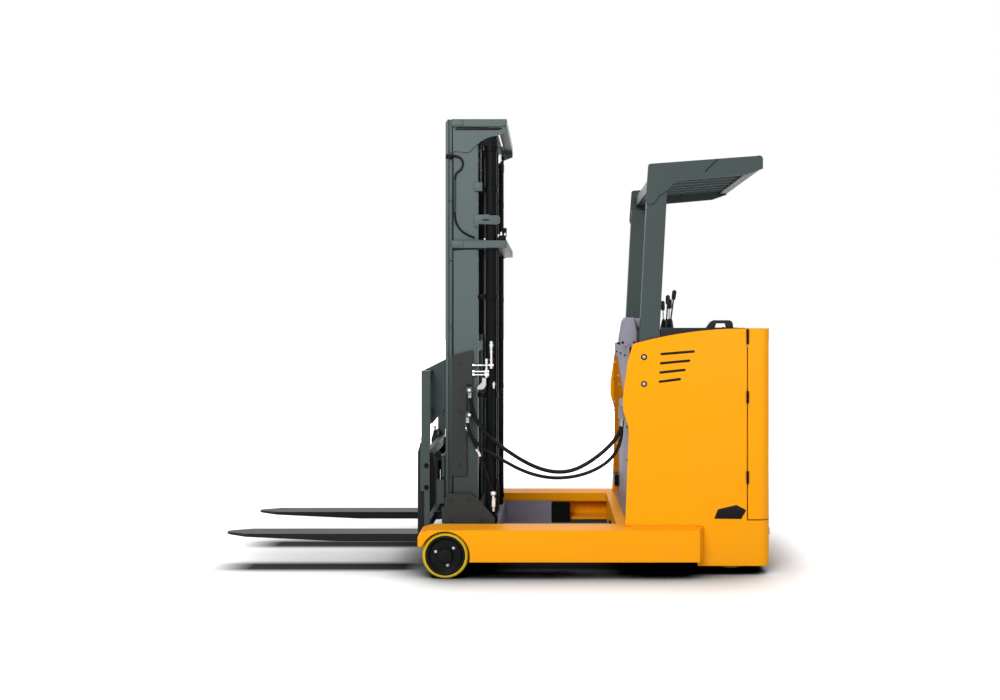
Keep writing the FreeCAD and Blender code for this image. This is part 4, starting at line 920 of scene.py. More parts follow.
class Fasteners:
    """Bolt heads on the truck's faces, gathered for each body and finish and set by one tree."""

    def __init__(self) -> None:
        """Start with no bolts."""
        self.sets: dict[tuple[Body, str, int], tuple[Finish, list[tuple[Point, Point, float]]]] = {}
        self.tree = self._tree()

    def add(self, body: Body, finish: Finish, places: Iterable[Point], facing: Point, width: float,
            sides: int = HEXAGON) -> None:
        """Ask for bolt heads.

        Args:
            body: the body that they ride on.
            finish: their finish.
            places: where their washers sit.
            facing: the way they face.
            width: across a head's corners.
            sides: six for a hexagon head, more for a round one.
        """
        kept = self.sets.setdefault((body, finish.name, sides), (finish, []))[1]
        kept.extend((tuple(place), tuple(facing), width) for place in places)

    def _tree(self) -> NodeTree:
        """The tree that sets a head and its washer on every point.

        Returns:
            The tree.
        """
        nodes, inputs, out = new_tree("Bolt heads", {
            "Sides": ("NodeSocketInt", 6),
            "Height": ("NodeSocketFloat", 0.62),
            "Washer": ("NodeSocketFloat", 1.45),
            "Material": ("NodeSocketMaterial", None),
        })
        parts = []
        head_and_washer = ((inputs["Sides"], 1.0, 0.1, inputs["Height"]), (18, inputs["Washer"], -0.1, 0.2))
        for sides, wide, low, high in head_and_washer:
            feeds = {"Vertices": sides, "Radius": nodes.times(0.5, wide), "Depth": high}
            disc = nodes.add("GeometryNodeMeshCylinder", feeds).outputs["Mesh"]
            raised = nodes.upright(nodes.math("ADD", low, nodes.times(0.5, high)))
            lifted = nodes.add("GeometryNodeTransform", {"Translation": raised, "Geometry": disc})
            parts.append(lifted.outputs[0])
        head = nodes.join(parts)
        facing = nodes.add("GeometryNodeInputNamedAttribute", {"Name": "facing"}, data_type="FLOAT_VECTOR")
        width = nodes.add("GeometryNodeInputNamedAttribute", {"Name": "width"}, data_type="FLOAT")
        aim = nodes.add("FunctionNodeAlignRotationToVector", {"Vector": facing.outputs["Attribute"]},
                        axis="Z")
        scatter = nodes.add("GeometryNodeInstanceOnPoints", {
            "Points": inputs["Geometry"], "Instance": head, "Rotation": aim.outputs["Rotation"],
            "Scale": width.outputs["Attribute"],
        })
        close_tree(nodes, scatter.outputs[0], inputs["Material"], out)
        return nodes.tree

    def build(self) -> None:
        """Set every bolt, as one plain mesh for each body and finish."""
        for (body, _, sides), (finish, bolts) in self.sets.items():
            name = f"bolts_{body.value}_{finish.name.replace(' ', '_')}_{sides}"
            mesh = bpy.data.meshes.new(name)
            mesh.from_pydata([place for place, _, _ in bolts], [], [])
            facing = mesh.attributes.new("facing", "FLOAT_VECTOR", "POINT")
            facing.data.foreach_set("vector", [value for _, way, _ in bolts for value in way])
            width = mesh.attributes.new("width", "FLOAT", "POINT")
            width.data.foreach_set("value", [wide for _, _, wide in bolts])
            carrier = bpy.data.objects.new(name, mesh)
            bpy.context.collection.objects.link(carrier)
            run_tree(carrier, self.tree, sides=sides, material=finish.build())
            mounted(evaluated(carrier, name, finish), body)


# ---- places


@dataclass(frozen=True)
class Places:
    """Places on the truck, read from the frame's own boxes."""

    body_rear: float
    body_front: float
    body_half: float
    body_top: float
    seam: float
    leg_top: float
    leg_back: float
    wall: float
    console_low: float
    mast_face: float
    mast_back: float
    mast_half: float
    fork_face: float

    @classmethod
    def read(cls) -> Places:
        """Read them from the frame.

        Returns:
            The places.
        """
        panel, leg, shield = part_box("side_panel_left"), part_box("leg_left"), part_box("mast_covers")
        mast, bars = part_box("outer_mast"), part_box("fork_frame")
        return cls(
            body_rear=panel[0][0], body_front=panel[1][0], body_half=panel[1][1], body_top=panel[1][2],
            seam=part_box("rear_door")[1][0] + 0.005, leg_top=leg[1][2], leg_back=leg[0][0],
            wall=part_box("rubber_buffers")[1][0] - 0.028, console_low=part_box("dashboard")[0][2],
            mast_face=mast[1][0], mast_back=mast[0][0] + 0.162, mast_half=shield[1][1] - 0.014,
            fork_face=bars[1][0] + 0.018,
        )


def moved(points: Iterable[Flat], ahead: float, aside: float = 0.0) -> list[Flat]:
    """Move the points of an outline."""
    return [(first + ahead, second + aside) for first, second in points]


def span(side: float, near: float, far: float) -> tuple[float, float]:
    """The low and high Y of what lies between two distances from the middle, on one side."""
    low, high = sorted((side * near, side * far))
    return low, high


# ---- wheels


@dataclass
class Wheel:
    """A cast wheel with a moulded yellow tread, turned from its profile."""

    name: str
    body: Body
    node_hub: str
    node_tyre: str
    outward: float = 1.0
    rim: float = 0.86
    well: float = 0.67
    boss: float = 0.3
    depth: float = 0.021
    cap: float = 0.012
    screws: int = 3
    screw_circle: float = 0.45
    screw_turn: float = 41.0
    screw_width: float = 0.011

    def build(self, bolts: Fasteners, lanes: Sequence[tuple[float, float]] | None = None) -> None:
        """Build the wheel or wheels of one body.

        Args:
            bolts: the truck's bolts, which the wheel's are added to.
            lanes: the low and high Y of each tyre, where one node holds a pair.
        """
        low, high = (Vector(corner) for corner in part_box(self.node_tyre))
        radius = (high.z - low.z) / 2
        middle = ((low.x + high.x) / 2, 0.0, (low.z + high.z) / 2)
        hub, tread = Shape(), Shape()
        for near, far in lanes or ((low.y, high.y),):
            outer, inner = (far, near) if self.outward > 0 else (near, far)
            self._hub(hub, middle, radius, inner, outer)
            self._tread(tread, middle, radius, abs(far - near), inner)
            for index in range(self.screws):
                turn = math.radians(self.screw_turn + 360 / self.screws * index)
                reach = self.screw_circle * radius
                across, up = math.cos(turn) * reach, math.sin(turn) * reach
                face = outer - self.outward * (self.depth - 0.0006)
                bolts.add(self.body, Finishes.ZINC, [(middle[0] - across, face, middle[2] + up)],
                          (0.0, self.outward, 0.0), self.screw_width, 14)
        hub.mount(f"{self.name}_casting", Finishes.CAST, self.body, self.node_hub)
        tread.mount(f"{self.name}_tread", Finishes.TREAD, self.body, self.node_tyre)

    def _hub(self, shape: Shape, middle: Point, radius: float, inner: float, outer: float) -> None:
        """Turn the casting: a rim, a dished web and a boss with a cap.

        Args:
            shape: the mesh that it is added to.
            middle: the axle's place.
            radius: the tyre's radius.
            inner: Y of the wheel's inner face.
            outer: Y of its outer face.
        """
        across = abs(outer - inner)
        rim, well, boss = self.rim * radius, self.well * radius, self.boss * radius
        floor, back = across - self.depth, self.depth * 0.6
        behind = [
            (0.0015, 0.0), (0.0015, boss), (back, boss + 0.006), (back, well), (0.001, well + 0.009),
            (0.001, rim - 0.004),
        ]
        ahead = [(0.004, rim), (across - 0.003, rim), (across - 0.001, rim - 0.0025),
                 (across - 0.001, well + 0.011), (across - 0.004, well + 0.008),
                 (floor + 0.002, well + 0.001), (floor, well - 0.002), (floor, boss + 0.011),
                 (floor + 0.0035, boss + 0.009), (floor + 0.0035, boss + 0.003),
                 (across + self.cap - 0.004, boss), (across + self.cap - 0.001, boss - 0.002),
                 (across + self.cap, boss - 0.005), (across + self.cap, 0.0),]
        shape.lathe(behind + ahead, (middle[0], inner, middle[2]), (0.0, self.outward, 0.0), 64)

    def _tread(self, shape: Shape, middle: Point, radius: float, across: float, inner: float) -> None:
        """Turn the tread: a band with round shoulders, bonded to the rim.

        Args:
            shape: the mesh that it is added to.
            middle: the axle's place.
            radius: the tyre's radius.
            across: the tread's width.
            inner: Y of the wheel's inner face.
        """
        rim, round_ = self.rim * radius + 0.0004, 0.013
        side = [(round_ * (1 - math.cos(a)), radius - round_ * (1 - math.sin(a))) for a in
                (math.radians(angle) for angle in (0, 18, 38, 60, 90))]
        profile = [(0.0015, rim), (0.0, rim + 0.003)] + side
        profile += [(across - along, high) for along, high in reversed(side)]
        profile += [(across, rim + 0.003), (across - 0.0015, rim)]
        shape.lathe(profile, (middle[0], inner, middle[2]), (0.0, self.outward, 0.0), 72, closed=True)


def build_wheels(bolts: Fasteners) -> None:
    """Build the load wheels, the drive wheel and the twin caster wheels.

    Args:
        bolts: the truck's bolts, which these are added to.
    """
    for side, way in SIDES.items():
        body = Body.LOAD_LEFT if way > 0 else Body.LOAD_RIGHT
        Wheel(f"load_wheel_{side}", body, f"load_hub_{side}", f"load_tyre_{side}", way).build(bolts)
    Wheel("drive_wheel", Body.DRIVE_WHEEL, "drive_hub", "drive_tyre", -1.0, rim=0.76, well=0.6, boss=0.24,
          depth=0.03, cap=0.0, screws=6, screw_circle=0.38, screw_width=0.02).build(bolts)
    low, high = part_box("caster_tyres")
    tread = 0.052
    caster = Wheel("caster_wheels", Body.CASTER_WHEELS, "caster_hubs", "caster_tyres", 1.0, rim=0.74,
                   well=0.55, boss=0.26, depth=0.012, cap=0.0, screws=5, screw_circle=0.4,
                   screw_width=0.009)
    caster.build(bolts, ((low[1], low[1] + tread), (high[1] - tread, high[1])))


# ---- hoses and fittings


def fitting(shape: Shape, place: Triple, way: Triple, bore: float, nut: float = 0.0145) -> None:
    """Add a crimped ferrule and its nut.

    Args:
        shape: the mesh that it is added to.
        place: where the hose ends.
        way: the direction from the hose to its port.
        bore: the hose's outside radius.
        nut: the nut's radius across its corners.
    """
    way = Vector(way).normalized()
    place = Vector(place)
    crimp = [(-0.03, bore), (-0.03, bore + 0.002)]
    for ring in range(3):
        start = -0.027 + 0.009 * ring
        crimp += [(start, bore + 0.0026), (start + 0.006, bore + 0.0026), (start + 0.0075, bore + 0.0016)]
    crimp += [(0.0, bore + 0.002), (0.002, bore - 0.001), (0.002, 0.0)]
    shape.lathe([(-0.03, 0.0)] + crimp, place, way, 20)
    shape.nut(place, way, nut, 0.016, 0.002)
    shape.lathe([(0.014, 0.0), (0.014, bore - 0.002), (0.026, bore - 0.002), (0.026, 0.0)], place, way, 16)


@dataclass
class HangingHose:
    """A hose that hangs between the mast and the body."""

    node: str
    y: float
    length: float
    route: tuple[Flat, ...]
    radius: float = 0.0095

    def line(self) -> list[Point]:
        """The hose's centre line, read from a spline on its route's points.

        Returns:
            The points of the line, from the mast to the body.
        """
        data = bpy.data.curves.new(f"{self.node}_line", "CURVE")
        data.dimensions = "3D"
        data.resolution_u = 10
        spline = data.splines.new("NURBS")
        spline.points.add(len(self.route) - 1)
        for point, (x, z) in zip(spline.points, self.route):
            point.co = (x, self.y, z, 1.0)
        spline.order_u = 3
        spline.use_endpoint_u = True
        holder = bpy.data.objects.new(data.name, data)
        bpy.context.collection.objects.link(holder)
        bpy.context.view_layer.update()
        mesh = bpy.data.meshes.new_from_object(holder)
        points = [tuple(vertex.co) for vertex in mesh.vertices]
        bpy.data.objects.remove(holder)
        bpy.data.meshes.remove(mesh)
        return points

    def build(self) -> list[Point]:
        """Build the hose between its two bodies.

        Returns:
            Its centre line.
        """
        line = self.line()
        shape = Shape()
        shape.tube(line, self.radius, 14)
        piece = shape.done(self.node.replace("hose", "hanging_hose"), Finishes.RUBBER)
        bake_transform(piece)
        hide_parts(self.node)
        return line


UPPER_ROUTE = (
    (0.132, 0.985), (0.132, 0.935), (0.117, 0.870), (0.082, 0.806), (0.034, 0.748), (-0.024, 0.697),
    (-0.095, 0.646), (-0.175, 0.597), (-0.262, 0.558), (-0.352, 0.541), (-0.440, 0.552), (-0.522, 0.594),
    (-0.592, 0.645), (-0.645, 0.694), (-0.684, 0.742), (-0.705, 0.793), (-0.705, 0.843),
)
LOWER_ROUTE = (
    (0.142, 0.850), (0.142, 0.800), (0.130, 0.752), (0.098, 0.712), (0.050, 0.674), (-0.005, 0.640),
    (-0.070, 0.603), (-0.145, 0.562), (-0.235, 0.530), (-0.320, 0.516), (-0.405, 0.518), (-0.488, 0.534),
    (-0.565, 0.564), (-0.632, 0.608), (-0.676, 0.662), (-0.699, 0.720), (-0.705, 0.785), (-0.705, 0.843),
)


def build_hoses() -> None:
    """Build the three hanging hoses and the fittings at their ends."""
    hoses = (
        HangingHose("hose_upper_inner", 0.381, 1.213, UPPER_ROUTE),
        HangingHose("hose_upper_outer", 0.401, 1.213, UPPER_ROUTE),
        HangingHose("hose_lower", 0.421, 1.202, LOWER_ROUTE),
    )
    lines = [hose.build() for hose in hoses]
    near, far = Shape(), Shape()
    for line, bore in zip(lines, (hose.radius for hose in hoses)):
        fitting(near, line[0], UP, bore)
        fitting(far, Vector(line[-1]) - Vector((0.0, 0.0, 0.012)), UP, bore)
    near.mount("hose_fittings_mast", Finishes.STEEL, Body.MAST)
    far.mount("hose_fittings_body", Finishes.STEEL, Body.CHASSIS)


# ---- body


@dataclass
class BodyTrim:
    """The small things on the body: plate, fasteners, louvres, latch, hinges and the wall's bolts."""

    at: Places
    louvres: int = 4
    wall_bolts: tuple[float, ...] = (0.32, 0.62, 0.80, 1.0)
    access: tuple[Flat, ...] = ((-0.462, 0.305), (-0.150, 0.305), (-0.150, 0.905), (0.110, 0.930),
                                (0.155, 0.966), (-0.245, 1.150), (-0.462, 1.165))
    access_screws: tuple[Flat, ...] = ((-0.10, 1.045), (-0.02, 1.0), (-0.35, 1.117), (-0.18, 0.62),
                                       (-0.18, 0.42), (-0.43, 0.62), (-0.43, 0.42), (-0.40, 0.86))
    leaves: tuple[Flat, ...] = ((0.404, 0.065), (0.841, 0.068))
    plate: tuple[Flat, ...] = ((-1.2005, 0.306), (-1.2206, 0.357), (-1.322, 0.381), (-1.374, 0.353),
                               (-1.3475, 0.305))
    locks: tuple[Flat, ...] = ((-0.820, 1.183), (-0.820, 1.037))
    slot_round: float = 0.0068

    def build(self, bolts: Fasteners) -> None:
        """Build every piece.

        Args:
            bolts: the truck's bolts, which the body's are added to.
        """
        self._plate()
        self._locks()
        self._louvres()
        self._door()
        self._bolts(bolts)
        self._beads()
        self._cowl()
        self._bulkhead(bolts)

    def _plate(self) -> None:
        """A blank black plate low on the left panel."""
        shape = Shape()
        half = self.at.body_half
        shape.prism(self.plate, "y", half - 0.001, half + 0.0012, 0.0006)
        shape.mount("blank_plate", Finishes.PLATE, Body.CHASSIS)

    def _locks(self) -> None:
        """Two quarter-turn locks, each bright in a dark cup."""
        cups, heads = Shape(), Shape()
        half = self.at.body_half
        for x, z in self.locks:
            cups.lathe([(0.0, 0.0), (0.0, 0.0165), (0.002, 0.0165), (0.0028, 0.0155), (0.0028, 0.0118),
                        (0.001, 0.0118), (0.001, 0.0)], (x, half - 0.0004, z), ASIDE, 40)
            heads.lathe([(0.0, 0.0), (0.0, 0.0098), (0.0035, 0.0094), (0.005, 0.0072), (0.0058, 0.0)],
                        (x, half + 0.0008, z), ASIDE, 32)
            heads.block((x - 0.006, half + 0.0052, z - 0.0012), (x + 0.006, half + 0.0072, z + 0.0012),
                        0.0005)
        cups.mount("lock_cups", Finishes.BLACK, Body.CHASSIS)
        heads.mount("lock_heads", Finishes.STEEL, Body.CHASSIS)

    def _louvres(self) -> None:
        """A dark grille in each cooling slot, flush with the panel, its ends round."""
        at = self.at
        shape = Shape()
        for row in range(self.louvres):
            front = Vector((at.body_front - 0.209 + 0.003 * row, at.body_top - 0.139 - 0.05 * row))
            rear = front + Vector((-0.174 + 0.022 * row, 0.014))
            way = (rear - front).normalized()
            side = Vector((-way.y, way.x))
            outline = []
            for end, start in ((front, 90), (rear, -90)):
                for step in range(9):
                    turn = math.radians(start + 22.5 * step)
                    reach = (way * math.cos(turn) + side * math.sin(turn)) * self.slot_round
                    outline.append(tuple(end + reach))
            shape.prism(outline, "y", at.body_half - 0.004, at.body_half + 0.0005, 0.0003)
        shape.mount("cooling_grilles", Finishes.PLATE, Body.CHASSIS)

    def _door(self) -> None:
        """A black seal at the head of the seam, the hinges' leaves, and a flush latch on the rear face."""
        at = self.at
        seal, latch, cup = Shape(), Shape(), Shape()
        y = at.body_half
        seal.block((at.seam - 0.0062, y - 0.007, at.body_top - 0.088),
                   (at.seam - 0.0002, y + 0.0016, at.body_top - 0.004), 0.0008)
        seal.block((at.seam - 0.0058, y - 0.022, at.body_top - 0.13),
                   (at.seam - 0.0006, y - 0.012, at.body_top - 0.07), 0.0008)
        for drop, long in self.leaves:
            z = at.body_top - drop
            seal.block((at.seam - 0.0085, y - 0.004, z), (at.seam + 0.0025, y + 0.0018, z + long), 0.0008)
        x = at.body_rear
        cup.block((x - 0.001, 0.18, 0.685), (x + 0.004, 0.30, 0.785), 0.002)
        latch.prism([(x - 0.0035, 0.70), (x - 0.0035, 0.768), (x - 0.002, 0.773), (x + 0.002, 0.773),
                     (x + 0.002, 0.697)], "y", 0.2, 0.28, 0.0012)
        latch.lathe([(0.0, 0.0), (0.0, 0.009), (0.0013, 0.0085), (0.0013, 0.0)], (x - 0.0035, 0.24, 0.715),
                    (-1, 0, 0), 24)
        seal.mount("seam_seal", Finishes.RUBBER, Body.CHASSIS)
        cup.mount("latch_cup", Finishes.BLACK, Body.DOOR)
        latch.mount("latch_paddle", Finishes.STEEL, Body.DOOR)

    def _bolts(self, bolts: Fasteners) -> None:
        """Bolts of the front wall, its lid, the covers and the posts' feet.

        Args:
            bolts: the truck's bolts, which these are added to.
        """
        at = self.at
        front = [(at.wall + 0.0004, y, z) for z in self.wall_bolts for y in (-0.445, 0.445)]
        front += [(at.wall + 0.0004, y, 1.185) for y in (-0.3, 0.0, 0.3)]
        bolts.add(Body.CHASSIS, Finishes.BLACK, front, AHEAD, 0.010)
        edge = [(at.body_front - 0.038, -at.body_half - 0.0004, z) for z in (0.42, 0.62)]
        bolts.add(Body.CHASSIS, Finishes.BLACK, edge, (0, -1, 0), 0.012)
        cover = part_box("valve_cover")
        bolts.add(Body.CHASSIS, Finishes.BLACK,
                  [(at.wall + 0.0364, y, cover[0][2] + 0.014) for y in (0.262, 0.378)], AHEAD, 0.012)
        bolts.add(Body.CHASSIS, Finishes.BLACK,
                  [(at.wall + x, 0.4004, cover[0][2] + 0.02) for x in (-0.04, 0.024)], ASIDE, 0.01)
        rear = [(at.body_rear + 0.0004, y, 0.330) for y in (-0.36, -0.28)]
        bolts.add(Body.CHASSIS, Finishes.BLACK, rear, (-1, 0, 0), 0.006)
        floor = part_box("operator_floor")
        bolts.add(Body.CHASSIS, Finishes.STEEL,
                  [(x, y, floor[1][2] - 0.0216) for x in (floor[0][0] + 0.03, floor[1][0] - 0.03)
                   for y in (-0.44, 0.05)], UP, 0.014, ROUND_HEAD)

    def _beads(self) -> None:
        """A weld along the foot of each leg where it meets the body."""
        at = self.at
        shape = Shape()
        for side in SIDES.values():
            start, y = at.leg_back + 0.04, side * (at.body_half + 0.001)
            shape.tube([(start + 0.012 * i, y, at.leg_top + 0.0012 * (i % 2)) for i in range(31)], 0.0035, 8)
        shape.mount("leg_welds", Finishes.BODY, Body.CHASSIS)

    def _cowl(self) -> None:
        """The console's dark cowl and the strip that runs back from it inside the panel's top edge."""
        at = self.at
        shape = Shape()
        rear, low, top = at.seam + 0.006, at.body_top - 0.03, at.body_top + 0.0035
        outline = [(at.body_front - 0.206, 1.235), (at.body_front - 0.206, top - 0.008),
                   (at.body_front - 0.214, top), (rear, top), (rear, low), (-1.16, low), (-1.02, 1.262)]
        shape.prism(outline, "y", at.body_half - 0.044, at.body_half - 0.0075, 0.002)
        shape.mount("console_cowl", Finishes.PLASTIC, Body.CHASSIS)

    def _bulkhead(self, bolts: Fasteners) -> None:
        """A yellow access plate over the right half of the front wall, with its screws; its darker yellow is
        painted shade.

        Args:
            bolts: the truck's bolts, which these are added to.
        """
        at = self.at
        plate = Shape()
        plate.prism(self.access, "x", at.wall - 0.001, at.wall + 0.003, 0.001)
        plate.mount("access_plate", Finishes.BODY_PAINTED_SHADE, Body.CHASSIS)
        screws = [(at.wall + 0.003, y, z) for y, z in self.access_screws]
        bolts.add(Body.CHASSIS, Finishes.ZINC, screws, AHEAD, 0.013)
# ---- mast


@dataclass
class MastTrim:
    """Fittings, pipes' nuts, a clipped cable, bolts and welds on the mast."""

    at: Places
    tie_drop: float = 0.674
    barrel_clamps: tuple[float, ...] = (0.95, 1.5, 2.1)
    guard_rise: Flat = (1.30, 2.36)
    guard_hose: float = 0.0105
    sheave_height: float = 2.385
    shield_bolts: tuple[float, ...] = (0.58, 0.88, 1.14)
    web_bolts: tuple[float, ...] = (1.35, 1.72, 2.05, 2.32)
    foot_bolts: tuple[Flat, ...] = ((-0.03, 0.385), (-0.13, 0.395), (-0.03, 0.28), (-0.2, 0.28))
    cable_radius: float = 0.0055
    cable_route: tuple[Point, ...] = (
        (0.012, 0.0095, 2.292), (0.050, 0.004, 2.296), (0.082, 0.004, 2.284), (0.096, 0.0, 2.255),
        (0.084, 0.0, 2.222), (0.056, 0.0, 2.196), (0.050, 0.0, 2.15), (0.050, 0.0, 2.06), (0.050, 0.0, 1.975),
        (0.058, 0.0, 1.925), (0.084, 0.0, 1.884), (0.122, 0.0, 1.858), (0.160, 0.0, 1.842),
    )

    def build(self, bolts: Fasteners) -> None:
        """Build every piece.

        Args:
            bolts: the truck's bolts, which the mast's are added to.
        """
        self._pipe_fittings()
        self._drain_line()
        self._cable()
        self._cylinders()
        self._bracket()
        self._hose_guard()
        self._tie_valve()
        self._welds()
        self._bolts(bolts)

    def _pipe_fittings(self) -> None:
        """Nuts, elbows and tees on the bright pipes beside the left lift cylinder."""
        at = self.at
        shape = Shape()
        y = at.mast_half + 0.005
        for z, reach in ((1.133, 0.080), (1.098, 0.056), (1.080, 0.056)):
            start = at.mast_back - reach
            shape.nut((start, y, z), AHEAD, 0.009, 0.018)
            shape.lathe([(0, 0), (0.0, 0.011), (0.01, 0.011), (0.014, 0.006), (0.014, 0)],
                        (start - 0.008, y, z), AHEAD, 16)
            shape.rod((at.mast_back + 0.016, y, z), AHEAD, 0.008, 0.012, HEXAGON)
        for x, low, high in ((at.mast_back - 0.076, 1.120, 1.240), (at.mast_back - 0.050, 1.070, 1.170)):
            for z in (low - 0.006, low + 0.034, (low + high) / 2 + 0.02, high - 0.016):
                shape.nut((x, y, z), UP, 0.0105, 0.015)
        shape.lathe([(0, 0), (0, 0.0115), (0.016, 0.0115), (0.018, 0.009), (0.03, 0.009), (0.03, 0.0)],
                    (at.mast_back - 0.076, y, 1.236), UP, 20)
        shape.mount("pipe_fittings", Finishes.ZINC, Body.MAST)
        clip = Shape()
        clip.prism(
            [(0.045, 1.062), (0.066, 1.062), (0.066, 1.04), (0.094, 1.012), (0.094, 0.998), (0.06, 0.998),
             (0.045, 1.02)], "y", at.mast_half - 0.012, at.mast_half + 0.006, 0.002)
        clip.mount("pipe_clip", Finishes.PALE, Body.MAST)

    def _drain_line(self) -> None:
        """A hose from a sloping fitting on the shield down to the valve behind the mast's foot."""
        y = self.at.mast_half + 0.0075
        hose = Shape()
        for depth, radius, sides, route in (
                (0.0, 0.0068, 12,
                 ((0.158, 0.0, 0.80), (0.128, 0.0, 0.735), (0.092, 0.0, 0.662), (0.056, 0.004, 0.58),
                  (0.026, 0.004, 0.49), (0.008, 0.0, 0.43), (0.004, 0.0, 0.40))),
                (0.016, 0.006, 10,
                 ((-0.018, 0.0, 0.50), (-0.022, 0.0, 0.42), (-0.020, 0.0, 0.33), (-0.004, 0.004, 0.30))),
                (0.004, 0.003, 8,
                 ((0.002, 0.0, 1.02), (0.000, 0.0, 0.99), (0.002, 0.0, 0.93), (0.004, 0.0, 0.70))),):
            hose.tube(smooth_line([(x, y - depth + out, z) for x, out, z in route]), radius, sides)
        hose.mount("drain_hose", Finishes.RUBBER, Body.MAST)
        ends = Shape()
        fitting(ends, (0.089, y, 0.656), (0.43, 0.0, 0.9), 0.0068, 0.0105)
        fitting(ends, (0.148, y, 0.779), (0.43, 0.0, 0.9), 0.006, 0.0095)
        ends.tube([(0.104, y, 0.688), (0.142, y, 0.766)], 0.0042, 10)
        fitting(ends, (0.004, y, 0.404), (0.0, 0.0, -1.0), 0.0068, 0.0105)
        ends.lathe(
            [(0, 0), (0, 0.007), (0.014, 0.007), (0.016, 0.010), (0.028, 0.010), (0.03, 0.006), (0.04, 0.0)],
            (0.002, y - 0.004, 1.005), UP, 6)
        ends.lathe([(0, 0), (0, 0.016), (0.004, 0.018), (0.018, 0.018), (0.022, 0.016), (0.022, 0)],
                   (0.004, y - 0.004, 0.412), UP, 24)
        ends.lathe([(0, 0), (0.0, 0.0135), (0.05, 0.0135), (0.054, 0.010), (0.075, 0.009), (0.078, 0.0)],
                   (0.002, y - 0.006, 0.398), (0.02, 0, -1), 20)
        ends.mount("drain_fittings", Finishes.ZINC, Body.MAST)

    def _cable(self) -> None:
        """A cable that leaves a clamp on the front flange, loops, and runs down a guide to the lower tie."""
        at = self.at
        face, y = at.mast_face, at.mast_half - 0.0075
        line = smooth_line([(face - back, y + out, z) for back, out, z in self.cable_route])
        cable = Shape()
        cable.tube(line, self.cable_radius, 10)
        cable.lathe([(0, 0), (0, 0.011), (0.016, 0.011), (0.018, 0.008), (0.018, 0)],
                    (face - 0.018, at.mast_half - 0.001, 2.292), (-1, 0, 0), 20)
        cable.mount("mast_cable", Finishes.RUBBER, Body.MAST)
        guide = Shape()
        guide.block((face - 0.0545, y - 0.0045, 1.985), (face - 0.0455, y + 0.0052, 2.165), 0.0015)
        guide.mount("cable_guide", Finishes.MAST, Body.MAST)
        clamp = Shape()
        clamp.block((face - 0.034, at.mast_half - 0.002, 2.280), (face, at.mast_half + 0.0035, 2.304), 0.0015)
        clamp.lathe([(0, 0), (0, 0.006), (0.004, 0.0055), (0.004, 0)],
                    (face - 0.008, at.mast_half + 0.003, 2.292), ASIDE, 20)
        clamp.mount("cable_clamp", Finishes.BLACK, Body.MAST)
        # Painted shade: a thin black sheet below the top tie, where its shadow falls.
        slot = Shape()
        outline = moved(
            ((-0.048, 2.4435), (-0.062, 2.4395), (-0.290, 2.4395), (-0.318, 2.4475), (-0.300, 2.4545),
             (-0.062, 2.4545)), face)
        slot.prism(outline, "y", at.mast_half - 0.008, at.mast_half - 0.0045, 0.0006)
        slot.mount("tie_gap", Finishes.PLATE, Body.MAST)

    def _cylinders(self) -> None:
        """Gland nuts on the lift cylinders, the rods' wipers and the clamps that hold the barrels."""
        low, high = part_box("lift_cylinders")
        x, radius = (low[0] + high[0]) / 2, (high[0] - low[0]) / 2
        y = high[1] - radius
        nuts, clamps = Shape(), Shape()
        for side in SIDES.values():
            for z, long in ((high[2] - 0.055, 0.05), (low[2] + 0.04, 0.035)):
                nuts.lathe([(0, radius - 0.003), (0, radius + 0.003), (0.003, radius + 0.0055),
                            (long - 0.003, radius + 0.0055), (long, radius + 0.003), (long, radius - 0.003)],
                           (x, side * y, z), UP, 40, closed=True)
            nuts.lathe(
                [(0, 0.0232), (0, radius - 0.002), (0.001, radius - 0.004), (0.0018, 0.027),
                 (0.0018, 0.0232)], (x, side * y, high[2] - 0.0004), UP, 36, closed=True)
            for z in self.barrel_clamps:
                clamps.lathe([(0, radius), (0, radius + 0.004), (0.03, radius + 0.004), (0.03, radius)],
                             (x, side * y, z), UP, 40, closed=True)
                clamps.block((x + radius, side * y - 0.012, z + 0.002),
                             (self.at.mast_back + 0.002, side * y + 0.012, z + 0.028), 0.002)
        nuts.mount("cylinder_glands", Finishes.BLACK, Body.MAST)
        clamps.mount("cylinder_clamps", Finishes.BLACK, Body.MAST)

    def _bracket(self) -> None:
        """A slotted bracket below the middle tie and a small clamp above it, on the left rail."""
        at = self.at
        y = at.mast_half
        shape, slots = Shape(), Shape()
        outline = moved(((0.018, 1.902), (0.018, 1.968), (-0.062, 1.972), (-0.066, 1.966), (-0.116, 1.966),
                         (-0.124, 1.956), (-0.124, 1.924), (-0.104, 1.914), (-0.004, 1.918), (-0.004, 1.902)),
                        at.mast_back)
        for side in SIDES.values():
            shape.prism(outline, "y", *span(side, y - 0.012, y - 0.004), 0.001)
            near, far = span(side, y - 0.005, y - 0.0034)
            slots.block((at.mast_back - 0.062, near, 1.936), (at.mast_back - 0.026, far, 1.944), 0.0008)
            near, far = span(side, y - 0.012, y - 0.002)
            shape.block((at.mast_back - 0.026, near, 2.10), (at.mast_back + 0.018, far, 2.15), 0.003)
        slots.mount("bracket_slots", Finishes.PLATE, Body.MAST)
        shape.mount("rail_brackets", Finishes.RAIL_PAINTED_LIGHTER, Body.MAST)

